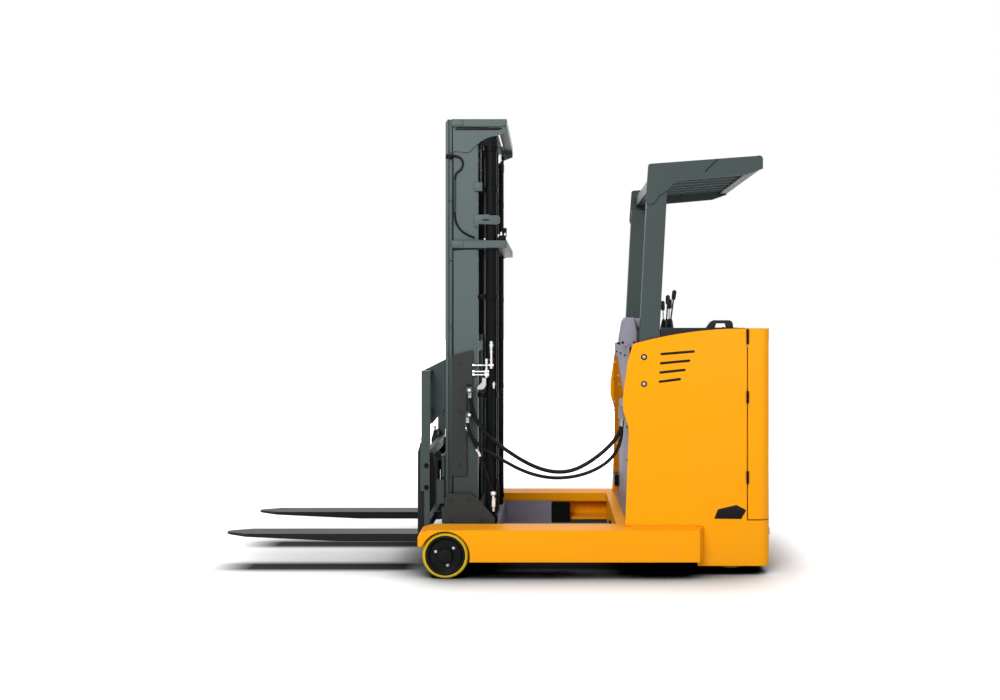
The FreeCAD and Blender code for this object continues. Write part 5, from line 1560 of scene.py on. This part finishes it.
    def _hose_guard(self) -> None:
        """The inner mast's hose guard, in the middle: a folded plate with two hoses and their sheave."""
        at = self.at
        guard, hoses, sheave = Shape(), Shape(), Shape()
        x = at.mast_back
        outline = moved(((-0.012, -0.062), (-0.012, 0.062), (0.062, 0.070), (0.066, 0.066), (-0.006, 0.056),
                         (-0.006, -0.056), (0.066, -0.066), (0.062, -0.070)), x)
        guard.prism(outline, "z", *self.guard_rise, 0.0012)
        for y in (-0.03, 0.03):
            hoses.tube([(x + 0.03, y, 1.31), (x + 0.03, y, 1.8), (x + 0.03, y, 2.35)], self.guard_hose, 14)
            sheave.lathe(
                [(-0.014, 0.012), (-0.014, 0.040), (-0.011, 0.041), (-0.007, 0.030), (0.007, 0.030),
                 (0.011, 0.041), (0.014, 0.040), (0.014, 0.012)], (x + 0.03, y, self.sheave_height), ASIDE,
                36, closed=True)
        sheave.tube([(x + 0.03, -0.07, self.sheave_height), (x + 0.03, 0.07, self.sheave_height)], 0.0119, 20)
        guard.mount("hose_guard", Finishes.BLACK, Body.INNER)
        hoses.mount("guard_hoses", Finishes.RUBBER, Body.INNER)
        sheave.mount("guard_sheave", Finishes.BLACK, Body.INNER)

    def _tie_valve(self) -> None:
        """A small valve with its fittings behind the left rail, on the middle tie."""
        at = self.at
        x, y, z = at.mast_back - 0.150, at.mast_half - 0.03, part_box("outer_mast")[1][2] - self.tie_drop
        body, ends = Shape(), Shape()
        body.block((x - 0.006, y - 0.02, z), (x + 0.036, y + 0.02, z + 0.030), 0.003)
        body.block((x - 0.010, y - 0.014, z + 0.044), (x + 0.012, y + 0.014, z + 0.072), 0.003)
        for reach, high in ((0.020, 0.030), (0.034, 0.018)):
            ends.lathe([(0, 0), (0, 0.008), (0.008, 0.008), (0.01, 0.006), (0.018, 0.006), (0.018, 0)],
                       (x + reach, y + 0.012, z + high), UP, 6)
        ends.tube([(x, y, z + 0.028), (x, y, z + 0.046)], 0.007, 14)
        body.mount("tie_valve", Finishes.BLACK, Body.MAST)
        ends.mount("tie_valve_fittings", Finishes.ZINC, Body.MAST)

    def _welds(self) -> None:
        """Weld beads where the ties meet the webs."""
        at = self.at
        shape = Shape()
        low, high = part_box("outer_mast")
        y = at.mast_half + 0.0008
        for side in SIDES.values():
            for z in (1.786, 1.826, high[2] - 0.04):
                points = [(at.mast_back - 0.05 + 0.009 * i, side * y, z - 0.0008 * (i % 2))
                          for i in range(22)]
                shape.tube(points, 0.0028, 6)
        shape.mount("mast_welds", Finishes.RAIL_PAINTED_LIGHTER, Body.MAST)
        self._joints(low[2], high[2])

    def _joints(self, bottom: float, top: float) -> None:
        """Painted shade as black strips and sheets where flanges and ties meet the webs, and the lapped ends
        of the ties.

        Args:
            bottom: Z of the mast's foot.
            top: Z of its head.
        """
        at = self.at
        face, tie = at.mast_face, top - self.tie_drop
        joints, laps, heads = Shape(), Shape(), Shape()
        # Painted shade: black strips where the front flanges shade the webs, and a black sheet below the
        # middle tie.
        lengths = ((bottom + 0.21, tie - 0.042), (tie + 0.002, top - 0.184), (top - 0.176, top - 0.042))
        gap = moved(
            ((-0.038, -0.0565), (-0.038, -0.0405), (-0.300, -0.0405), (-0.280, -0.048), (-0.110, -0.050),
             (-0.060, -0.053)), face, tie)
        for side in SIDES.values():
            near, far = span(side, at.mast_half - 0.0122, at.mast_half - 0.0085)
            for low, high in lengths:
                joints.block((face - 0.0425, near, low), (face - 0.0342, far, high), 0.0006)
            joints.prism(gap, "y", near, far, 0.0006)
            near, far = span(side, at.mast_half - 0.001, at.mast_half + 0.0022)
            for low, high in ((tie - 0.037, tie - 0.003), (top - 0.037, top - 0.004)):
                laps.block((face - 0.100, near, low), (face - 0.038, far, high), 0.001)
                laps.block((face - 0.334, near, low), (face - 0.318, far, high), 0.001)
            near, far = span(side, 0.3552, 0.3575)
            heads.block((-0.014, near, top - 0.148), (0.080, far, top - 0.068), 0.0006)
        joints.mount("rail_joints", Finishes.PLATE, Body.MAST)
        heads.mount("rod_head_plates", Finishes.BLACK, Body.MAST)
        laps.mount("tie_laps", Finishes.RAIL_PAINTED_LIGHTER, Body.MAST)

    def _bolts(self, bolts: Fasteners) -> None:
        """Bolts of the shields, the covers, the clamps and the sliders.

        Args:
            bolts: the truck's bolts, which these are added to.
        """
        at = self.at
        for side in SIDES.values():
            y = side * (at.mast_half + 0.0052)
            out = (0, side, 0)
            shield = [(at.mast_face - 0.075, y, z) for z in self.shield_bolts]
            bolts.add(Body.MAST, Finishes.SHIELD, shield, out, 0.013, ROUND_HEAD)
            foot = [(at.mast_face + x, side * (at.mast_half + 0.0142), z) for x, z in self.foot_bolts]
            bolts.add(Body.MAST, Finishes.SHIELD, foot, out, 0.014, ROUND_HEAD)
            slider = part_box("carriage_rollers")
            bolts.add(Body.MAST, Finishes.ZINC,
                      [(slider[0][0] + x, side * 0.4094, 0.15) for x in (0.03, 0.09)], out, 0.014)
            web = [(at.mast_face - 0.03, side * (at.mast_half - 0.0118), z) for z in self.web_bolts]
            bolts.add(Body.MAST, Finishes.RAIL_PAINTED_LIGHTER, web, out, 0.012)
        clamps = [(at.mast_back + 0.04, 0.4344, z) for z in (0.865, 1.0)]
        bolts.add(Body.MAST, Finishes.ZINC, clamps, ASIDE, 0.012)


def smooth_line(points: Sequence[Point], steps: int = 6) -> list[Point]:
    """Round a short line of points off, for pipes and held hoses.

    Args:
        points: the corners.
        steps: how many points each stretch gets.

    Returns:
        The points of a Catmull-Rom spline through them.
    """
    ends = [Vector(points[0]) * 2 - Vector(points[1])] + [Vector(p) for p in points]
    ends.append(Vector(points[-1]) * 2 - Vector(points[-2]))
    line = []
    for a, b, c, d in zip(ends, ends[1:], ends[2:], ends[3:]):
        for step in range(steps):
            t = step / steps
            line.append(tuple(0.5 * ((2 * b) + (c - a) * t + (2 * a - 5 * b + 4 * c - d) * t * t
                                     + (3 * b - a - 3 * c + d) * t ** 3)))
    line.append(tuple(points[-1]))
    return line


# ---- chains


@dataclass
class LeafChains:
    """The two lift chains: plates and pins set along a line by one tree."""

    at: Places
    pitch: float = 0.0191
    plate: Point = (0.0105, 0.0021, 0.0285)
    pin: float = 0.0056
    width: float = 0.0155
    gap: float = 0.0062
    inset: float = 0.074
    flats: int = 8

    def tree(self) -> NodeTree:
        """The tree that sets outer and inner plates in turn, with a pin between them.

        Returns:
            The tree.
        """
        nodes, inputs, out = new_tree("Leaf chain", {
            "Pitch": ("NodeSocketFloat", self.pitch),
            "Plate": ("NodeSocketVector", self.plate),
            "Pin": ("NodeSocketFloat", self.pin),
            "Width": ("NodeSocketFloat", self.width),
            "Material": ("NodeSocketMaterial", None),
        })
        feeds = {"Curve": inputs["Geometry"], "Length": inputs["Pitch"]}
        spaced = nodes.add("GeometryNodeResampleCurve", feeds, mode="LENGTH").outputs[0]
        lying = (math.pi / 2, 0.0, 0.0)
        feeds = {"Vertices": self.flats, "Radius": 0.5, "Depth": 1.0}
        disc = nodes.add("GeometryNodeMeshCylinder", feeds).outputs["Mesh"]
        laid = nodes.add("GeometryNodeTransform", {"Rotation": lying, "Geometry": disc}).outputs[0]
        plate = nodes.add("GeometryNodeTransform", {"Geometry": laid, "Scale": inputs["Plate"]}).outputs[0]
        feeds = {"Vertices": self.flats, "Radius": nodes.times(inputs["Pin"], 0.5), "Depth": inputs["Width"]}
        pin = nodes.add("GeometryNodeMeshCylinder", feeds).outputs["Mesh"]
        feeds = {"Rotation": lying, "Translation": nodes.upright(nodes.times(inputs["Pitch"], 0.5)),
                 "Geometry": pin}
        across = nodes.add("GeometryNodeTransform", feeds).outputs[0]
        links = []
        for count in (3, 2):
            feeds = {
                "Count": count, "Start Location": (0.0, -self.gap * (count - 1) / 2, 0.0),
                "Offset": (0.0, self.gap, 0.0),
            }
            row = nodes.add("GeometryNodeMeshLine", feeds, mode="OFFSET").outputs[0]
            beside = nodes.add("GeometryNodeInstanceOnPoints", {"Points": row, "Instance": plate}).outputs[0]
            joined = nodes.join((beside, across))
            links.append(nodes.add("GeometryNodeRealizeInstances", {0: joined}).outputs[0])
        kinds = nodes.join(links, "GeometryNodeGeometryToInstance")
        tangent = nodes.add("GeometryNodeInputTangent").outputs[0]
        aim = nodes.add("FunctionNodeAlignRotationToVector", {"Vector": tangent}, axis="Z", pivot_axis="Y")
        parity = nodes.math("MODULO", nodes.add("GeometryNodeInputIndex").outputs[0], 2.0)
        scatter = nodes.add("GeometryNodeInstanceOnPoints", {
            "Points": spaced, "Instance": kinds, "Pick Instance": True, "Instance Index": parity,
            "Rotation": aim.outputs["Rotation"],
        })
        close_tree(nodes, scatter.outputs[0], inputs["Material"], out)
        return nodes.tree

    def run(self, name: str, tree: NodeTree, lines: Sequence[Sequence[Point]]) -> Object:
        """Set a chain along lines.

        Args:
            name: the piece's name.
            tree: the chain's tree.
            lines: a line for each side of the mast.

        Returns:
            The chain, as a plain mesh.
        """
        data = bpy.data.curves.new(name, "CURVE")
        data.dimensions = "3D"
        for line in lines:
            spline = data.splines.new("POLY")
            spline.points.add(len(line) - 1)
            for point, place in zip(spline.points, line):
                point.co = (*place, 1.0)
        carrier = bpy.data.objects.new(name, data)
        bpy.context.collection.objects.link(carrier)
        run_tree(carrier, tree, pitch=self.pitch, plate=self.plate, pin=self.pin, width=self.width,
                 material=Finishes.CHAIN.build())
        return evaluated(carrier, name, Finishes.CHAIN)

    def build(self) -> None:
        """Build the front and rear runs, the turns over the pulleys, and the anchors."""
        front, rear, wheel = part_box("chain_front"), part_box("chain_rear"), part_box("chain_pulleys")
        x, z = ((wheel[0][axis] + wheel[1][axis]) / 2 for axis in (0, 2))
        reach = (front[0][0] + front[1][0]) / 2 - x
        tree = self.tree()
        sides = [side * (wheel[1][1] - 0.01) for side in SIDES.values()]
        for run, place, low, upper, lower in (
            ("front", x + reach, front[0][2], Body.INNER, Body.CARRIAGE),
            ("rear", x - reach, rear[0][2], Body.INNER, Body.MAST),
        ):
            chain = self.run(f"lift_chain_{run}", tree, [[(place, y, low), (place, y, z)] for y in sides])
            ends = [(upper.value, (place, 0, z)), (lower.value, (place, 0, low))]
            if run == "rear":
                ends.reverse()
            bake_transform(chain)
            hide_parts(f"chain_{run}")
        arc = [math.radians(angle) for angle in range(0, 181, 15)]
        turns = [[(x + reach * math.cos(a), y, z + reach * math.sin(a)) for a in arc] for y in sides]
        mounted(self.run("lift_chain_turn", tree, turns), Body.INNER)
        self._anchors(x + reach, x - reach, front[0][2], rear[0][2], sides)
        place, low, high = self.at.mast_back - 0.012, z - 0.27, z + 0.008
        insides = [side * (self.at.mast_half - self.inset) for side in SIDES.values()]
        held = self.run("inner_chain", tree, [[(place, y, low), (place, y, high)] for y in insides])
        mounted(held, Body.INNER)
        ends = Shape()
        for y in insides:
            for foot in (low - 0.026, high - 0.002):
                ends.block((place - 0.008, y - 0.0085, foot), (place + 0.016, y + 0.0085, foot + 0.028),
                           0.0015)
        ends.mount("inner_chain_ends", Finishes.BLACK, Body.INNER)
        self._pulleys(wheel, (x, z), sides)

    def _anchors(self, ahead: float, behind: float, low: float, tie: float, sides: Sequence[float]) -> None:
        """Anchor bolts: under the front runs on the lift carriage, and on the tie for the rear runs.

        Args:
            ahead: X of the front runs.
            behind: X of the rear runs.
            low: Z where the front runs end.
            tie: Z where the rear runs end.
            sides: Y of each run.
        """
        below, above = Shape(), Shape()
        for y in sides:
            for shape, x, z in ((below, ahead, low), (above, behind, tie)):
                shape.block((x - 0.0065, y - 0.009, z - 0.002), (x + 0.0065, y + 0.009, z + 0.028), 0.0015)
                shape.nut((x, y, z - 0.0345), UP, 0.010, 0.014)
        below.mount("chain_anchors_carriage", Finishes.ZINC, Body.CARRIAGE)
        above.mount("chain_anchors_mast", Finishes.ZINC, Body.MAST)

    def _pulleys(self, wheel: tuple, middle: Flat, sides: Sequence[float]) -> None:
        """Flanged pulleys with a groove for the chain.

        Args:
            wheel: the box of the frame's pulleys.
            middle: X and Z of their axle.
            sides: Y of each pulley.
        """
        radius, half = (wheel[1][2] - wheel[0][2]) / 2, 0.01
        shape = Shape()
        for y in sides:
            profile = [(-half, 0.0101), (-half, radius + 0.003), (-half + 0.0012, radius + 0.004),
                       (-half + 0.002, radius - 0.003), (half - 0.002, radius - 0.003),
                       (half - 0.0012, radius + 0.004), (half, radius + 0.003), (half, 0.0101)]
            shape.lathe(profile, (middle[0], y, middle[1]), ASIDE, 48, closed=True)
        shape.mount("chain_pulley_wheels", Finishes.STEEL, Body.INNER, "chain_pulleys")


# ---- operator's place


@dataclass
class Lever:
    """A control lever: a bellows boot, a thin stem and a capsule grip."""

    foot: Point
    top: Point
    grip: float = 0.0145
    long: float = 0.060

    def build(self, boots: Shape, stems: Shape, grips: Shape) -> None:
        """Add the lever to its three shapes.

        Args:
            boots: the rubber boots.
            stems: the bright stems.
            grips: the black grips.
        """
        foot, top = Vector(self.foot), Vector(self.top)
        way = (top - foot).normalized()
        folds = [(0.0, 0.0), (0.0, 0.029)]
        for fold in range(5):
            wide = 0.029 - 0.0038 * fold
            folds += [(0.005 + 0.013 * fold, wide), (0.012 + 0.013 * fold, wide - 0.0055)]
        boots.lathe(folds + [(0.070, 0.0065), (0.072, 0.0)], foot, way, 24)
        tall = (top - foot).length - self.long
        stems.tube([foot + way * 0.06, foot + way * (tall + 0.01)], 0.0046, 12)
        low, round_ = tall, self.grip
        profile = [(low, 0.0), (low, round_ * 0.62), (low + 0.003, round_ * 0.8),
                   (low + 0.014, round_ * 0.94)]
        profile += [(low + self.long - round_ * (1.0 - math.sin(a)), round_ * math.cos(a)) for a in
                    (math.radians(turn) for turn in (0, 20, 40, 60, 78))]
        grips.lathe(profile + [(low + self.long, 0.0)], foot, way, 28)


@dataclass
class OperatorPlace:
    """What the operator stands at: levers, wheel, the console's keys, mat, pedal and pad."""

    at: Places
    wheel_centre: Point = (-1.226, 0.235, 1.300)
    wheel_tilt: Point = (-0.16, 0.0, 1.0)
    rim_radius: float = 0.012
    console_x: float = -0.955
    rib_step: float = 0.0125
    pad_grid: tuple[int, int] = (72, 104)
    channels: Flat = (-0.36, 0.36)

    def build(self) -> None:
        """Build every piece."""
        self._levers()
        self._wheel()
        self._console()
        self._mat()
        self._pedal()
        self._pad()

    def _levers(self) -> None:
        """Four levers on the console: two upright and two that lean."""
        low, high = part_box("control_levers")
        x, base = high[0] - 0.026, low[2]
        boots, bright, dark, grips = Shape(), Shape(), Shape(), Shape()
        levers = (
            ((x + 0.008, 0.020, base), (x + 0.004, 0.020, high[2] - 0.050), bright, 0.0145),
            ((x - 0.006, -0.055, base), (x - 0.037, -0.055, high[2] + 0.005), dark, 0.0135),
            ((x + 0.016, -0.130, base), (x + 0.027, -0.130, high[2] - 0.058), bright, 0.0135),
            ((x - 0.006, -0.205, base), (x - 0.018, -0.205, high[2] - 0.020), dark, 0.0135),
        )
        for foot, top, stems, grip in levers:
            Lever(foot, top, grip).build(boots, stems, grips)
        boots.mount("lever_boots", Finishes.RUBBER, Body.CHASSIS)
        bright.mount("lever_stems", Finishes.STEEL, Body.CHASSIS)
        dark.mount("lever_stems_dark", Finishes.BLACK, Body.CHASSIS)
        grips.mount("lever_grips", Finishes.PLASTIC, Body.CHASSIS, "control_levers")

    def _wheel(self) -> None:
        """A small steering wheel with three spokes and a spinner knob."""
        low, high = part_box("steering_wheel")
        ring = (high[1] - low[1]) / 2 - self.rim_radius
        tilt = Vector(self.wheel_tilt).normalized()
        centre = Vector(self.wheel_centre)
        shape, knob = Shape(), Shape()
        turns = [math.radians(15 * i) for i in range(24)]
        rim = [(self.rim_radius * math.sin(a), ring + self.rim_radius * math.cos(a)) for a in turns]
        shape.lathe(rim, centre, tilt, 64, closed=True)
        first = Vector(ASIDE)
        second = tilt.cross(first).normalized()
        for turn in (90, 210, 330):
            way = first * math.cos(math.radians(turn)) + second * math.sin(math.radians(turn))
            shape.tube([centre - tilt * 0.016 + way * 0.02, centre - tilt * 0.011 + way * ring * 0.55,
                        centre - tilt * 0.002 + way * (ring - 0.004)], 0.0075, 12)
        shape.lathe(
            [(-0.028, 0.0), (-0.028, 0.022), (-0.024, 0.026), (-0.008, 0.028), (-0.002, 0.024), (0.0, 0.0)],
            centre, tilt, 36)
        way = first * math.cos(math.radians(30)) + second * math.sin(math.radians(30))
        foot = centre + way * ring + tilt * 0.009
        knob.lathe(
            [(0.0, 0.0), (0.0, 0.0095), (0.006, 0.0085), (0.010, 0.013), (0.018, 0.0185), (0.028, 0.0205),
             (0.038, 0.0175), (0.044, 0.010), (0.0455, 0.0)], foot, tilt, 32)
        shape.mount("wheel_rim", Finishes.PLASTIC, Body.STEERING, "steering_wheel")
        knob.mount("wheel_knob", Finishes.PLASTIC, Body.STEERING)

    def _console(self) -> None:
        """A display, keys, a key switch and a red stop button on the deck."""
        deck = self.at.console_low + 0.013
        frame, glass, keys, green, red, steel = (Shape() for _ in range(6))
        x = self.console_x
        frame.block((x - 0.038, -0.37, deck), (x + 0.028, -0.235, deck + 0.012), 0.003)
        glass.block((x - 0.031, -0.358, deck + 0.0112), (x + 0.021, -0.276, deck + 0.0128), 0.0005)
        for row in range(3):
            keys.block((x - 0.028 + 0.017 * row, -0.268, deck + 0.011),
                       (x - 0.016 + 0.017 * row, -0.245, deck + 0.0145), 0.001)
        green.lathe([(0, 0), (0, 0.008), (0.006, 0.0075), (0.007, 0)], (x, 0.11, deck - 0.0005), UP, 24)
        red.lathe(
            [(0, 0), (0, 0.011), (0.012, 0.011), (0.014, 0.017), (0.022, 0.0185), (0.028, 0.015), (0.03, 0)],
            (x, 0.165, deck - 0.0005), UP, 36)
        steel.lathe([(0, 0), (0, 0.013), (0.003, 0.013), (0.004, 0.010), (0.012, 0.0085), (0.012, 0)],
                    (x, 0.055, deck - 0.0005), UP, 28)
        steel.block((x - 0.008, 0.0542, deck + 0.011), (x + 0.008, 0.0558, deck + 0.034), 0.0005)
        frame.mount("display_case", Finishes.PLASTIC, Body.CHASSIS)
        glass.mount("display_glass", Finishes.GLASS, Body.CHASSIS)
        keys.mount("console_keys", Finishes.LIGHT, Body.CHASSIS)
        green.mount("console_lamp", Finishes.GREEN, Body.CHASSIS)
        red.mount("stop_button", Finishes.RED, Body.CHASSIS)
        steel.mount("key_switch", Finishes.ZINC, Body.CHASSIS)

    def _mat(self) -> None:
        """A ribbed rubber mat, its ribs set by a tree."""
        low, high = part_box("operator_floor")
        top = high[2] - 0.022
        nodes, inputs, out = new_tree("Mat ribs", {
            "Count": ("NodeSocketInt", 30),
            "Start": ("NodeSocketVector", (0.0, 0.0, 0.0)),
            "Step": ("NodeSocketVector", (0.0, 0.02, 0.0)),
            "Rib": ("NodeSocketVector", (0.3, 0.006, 0.003)),
            "Material": ("NodeSocketMaterial", None),
        })
        feeds = {"Count": inputs["Count"], "Start Location": inputs["Start"], "Offset": inputs["Step"]}
        row = nodes.add("GeometryNodeMeshLine", feeds, mode="OFFSET").outputs[0]
        rib = nodes.add("GeometryNodeMeshCube", {"Size": inputs["Rib"]}).outputs["Mesh"]
        scatter = nodes.add("GeometryNodeInstanceOnPoints", {"Points": row, "Instance": rib})
        close_tree(nodes, scatter.outputs[0], inputs["Material"], out)
        carrier = bpy.data.objects.new("mat_ribs", bpy.data.meshes.new("mat_ribs"))
        bpy.context.collection.objects.link(carrier)
        near, far, step = low[1] + 0.030, high[1] - 0.022, self.rib_step
        count = int((far - near) / step)
        front, rear = high[0] - 0.03, low[0] + 0.14
        run_tree(carrier, nodes.tree, count=count, start=((front + rear) / 2, near, top + 0.0012),
                 step=(0.0, step, 0.0), rib=(front - rear, 0.0055, 0.0028), material=Finishes.MAT.build())
        mounted(evaluated(carrier, "floor_mat_ribs", Finishes.MAT), Body.CHASSIS)

    def _pedal(self) -> None:
        """A ribbed pad and its frame over the floor's pedal."""
        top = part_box("operator_floor")[1][2]
        shape = Shape()
        shape.block((-1.289, -0.146, top - 0.0012), (-1.167, -0.044, top), 0.0006)
        for row in range(7):
            x = -1.281 + 0.0165 * row
            shape.prism(
                [(x, top - 0.0008), (x + 0.0085, top - 0.0008), (x + 0.0072, top), (x + 0.0013, top)], "y",
                -0.140, -0.050)
        shape.mount("pedal_pad", Finishes.MAT, Body.CHASSIS)

    def _pad(self) -> None:
        """The padded back rest on the side panel: crowned, drawn in at two sewn channels and piped round."""
        low, high = (Vector(corner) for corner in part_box("back_pad"))
        size = high - low
        half_x, half_z = size.x / 2, size.z / 2
        middle = (low + high) / 2
        across, tall = self.pad_grid
        shape = Shape()
        piping = []

        def edge(u: float, v: float) -> Flat:
            """A place on the pad's outline, which pulls in between its corners.

            Args:
                u: how far along the width, -1 to 1.
                v: how far up, -1 to 1.

            Returns:
                X and Z from the middle.
            """
            pull_x = 1.0 - 0.028 * (1.0 - v * v)
            pull_z = 1.0 - 0.018 * (1.0 - u * u)
            return u * half_x * pull_x, v * half_z * pull_z

        def crown(u: float, v: float) -> float:
            """How far the pad swells at a place, from 0 at its edge to 1.

            Args:
                u: how far along the width, -1 to 1.
                v: how far up, -1 to 1.

            Returns:
                The share of the full swell.
            """
            rise = ((1.0 - abs(u) ** 3.2) * (1.0 - abs(v) ** 4.5)) ** 0.42
            channel = sum(math.exp(-(((v - at) * half_z) / 0.0065) ** 2) for at in self.channels)
            pucker = 0.05 * math.sin(v * 46.0) * math.exp(-(((abs(u) - 1.0) * half_x) / 0.016) ** 2)
            return max(rise * (1.0 - 0.42 * min(channel, 1.0)) + pucker * rise, 0.0)

        grid_front, grid_back = [], []
        for i in range(across + 1):
            u = math.sin(math.pi / 2 * (2 * i / across - 1))
            column_front, column_back = [], []
            for j in range(tall + 1):
                v = math.sin(math.pi / 2 * (2 * j / tall - 1)) if j in (0, tall) else (2 * j / tall - 1)
                x, z = edge(u, v)
                rise = crown(u, v)
                deep = size.y * (0.30 + 0.70 * rise)
                column_front.append((middle.x + x, low.y + size.y - deep, middle.z + z))
                column_back.append((middle.x + x, high.y - size.y * 0.06 * (1.0 - rise), middle.z + z))
            grid_front.append(column_front)
            grid_back.append(column_back)
        width = tall + 1
        points = [p for column in grid_front for p in column] + [p for column in grid_back for p in column]
        offset = (across + 1) * width
        faces = []
        for i in range(across):
            for j in range(tall):
                a, b, c, d = i * width + j, (i + 1) * width + j, (i + 1) * width + j + 1, i * width + j + 1
                faces += [(a, b, c, d), (a + offset, d + offset, c + offset, b + offset)]
        rim = [i * width for i in range(across + 1)] + [across * width + j for j in range(1, width)]
        rim += [i * width + tall for i in range(across - 1, -1, -1)] + [j for j in range(tall - 1, 0, -1)]
        for one, two in zip(rim, rim[1:] + rim[:1]):
            faces.append((one, two, two + offset, one + offset))
        shape.solid(points, faces)
        for index in rim[::3]:
            point = points[index]
            piping.append((point[0] + (0.0016 if point[0] < middle.x else -0.0016), point[1] + size.y * 0.02,
                           point[2] + (0.0016 if point[2] < middle.z else -0.0016)))
        shape.tube(piping + piping[:1], 0.0024, 8)
        pad = shape.done("back_rest_pad", Finishes.LEATHER)
        mounted(pad, Body.CHASSIS, "back_pad")


# ---- guard and forks


@dataclass
class GuardTrim:
    """Dark liners in the slanted slots of the overhead guard."""

    slot: tuple[Flat, ...] = ((0.3185, -0.088), (0.247, -0.0165), (0.2415, -0.022), (0.313, -0.0935))
    near: float = 0.0005
    far: float = 0.0076

    def build(self) -> None:
        """Build both sides."""
        roof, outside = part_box("guard_roof"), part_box("guard_post_left")[1][1]
        outline = moved(self.slot, roof[0][0], roof[1][2])
        liners = Shape()
        for side in SIDES.values():
            liners.prism(outline, "y", *span(side, outside + self.near, outside + self.far), 0.0004)
        liners.mount("guard_slots", Finishes.PLATE, Body.CHASSIS)


@dataclass
class ForkTrim:
    """What the forks carry: locking pins, stops, the backrest's bolts, stiffeners and hoses."""

    at: Places
    rib: tuple[Flat, ...] = ((-0.022, 0.375), (-0.022, 0.600), (-0.012, 0.640), (0.004, 0.640),
                             (0.004, 0.300), (-0.008, 0.320))
    hose_route: tuple[Flat, ...] = ((0.018, 0.625), (0.012, 0.55), (0.012, 0.42), (0.018, 0.295))
    hose_radius: float = 0.0075
    backrest_bolts: Flat = (0.573, 0.451)

    def build(self, bolts: Fasteners) -> None:
        """Build every piece.

        Args:
            bolts: the truck's bolts, which the load backrest's are added to.
        """
        self._stiffeners()
        self._backrest_bolts(bolts)
        pins, stops = Shape(), Shape()
        for side in SIDES:
            low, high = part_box(f"fork_{side}")
            y = (low[1] + high[1]) / 2
            top = high[2]
            pins.lathe(
                [(0, 0), (0, 0.009), (0.022, 0.009), (0.024, 0.013), (0.034, 0.013), (0.037, 0.010),
                 (0.037, 0)], (self.at.fork_face - 0.012, y, top - 0.003), UP, 24)
            stops.block((low[0] + 0.003, low[1] + 0.012, top - 0.002),
                        (low[0] + 0.03, high[1] - 0.012, top + 0.006), 0.002)
        pins.mount("fork_pins", Finishes.ZINC, Body.FORKS)
        stops.mount("fork_stops", Finishes.BLACK, Body.FORKS)

    def _backrest_bolts(self, bolts: Fasteners) -> None:
        """The bolts that hold the load backrest to the fork frame.

        Args:
            bolts: the truck's bolts, which these are added to.
        """
        half = max(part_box("fork_frame")[1][1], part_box("load_backrest")[1][1]) + 0.0004
        for side in SIDES.values():
            places = [(self.at.fork_face - 0.052, side * half, z) for z in self.backrest_bolts]
            bolts.add(Body.FORKS, Finishes.BLACK, places, (0, side, 0), 0.018)

    def _stiffeners(self) -> None:
        """Upright ribs behind the fork bars, with a hose clipped to each."""
        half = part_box("fork_frame")[1][1]
        bars = self.at.fork_face - 0.070
        ribs, hoses = Shape(), Shape()
        outline = moved(self.rib, bars)
        for side in SIDES.values():
            ribs.prism(outline, "y", *span(side, half - 0.040, half - 0.012), 0.0015)
            y = side * (half - 0.060)
            route = smooth_line([(bars + x, y, z) for x, z in self.hose_route])
            hoses.tube(route, self.hose_radius, 12)
        ribs.mount("frame_ribs", Finishes.BLACK, Body.FORKS)
        hoses.mount("frame_hoses", Finishes.RUBBER, Body.FORKS)


# ---- main


def main() -> None:
    """Load the frame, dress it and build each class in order."""
    logging.basicConfig(level=logging.INFO, format="%(message)s")
    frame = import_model()
    Effects.build()
    Stage().build()
    build_hoses()
    dress_nodes(frame["nodes"])
    at = Places.read()
    bolts = Fasteners()
    build_wheels(bolts)
    BodyTrim(at).build(bolts)
    MastTrim(at).build(bolts)
    LeafChains(at).build()
    OperatorPlace(at).build()
    ForkTrim(at).build(bolts)
    GuardTrim().build()
    bolts.build()


if __name__ == "__main__":
    main()
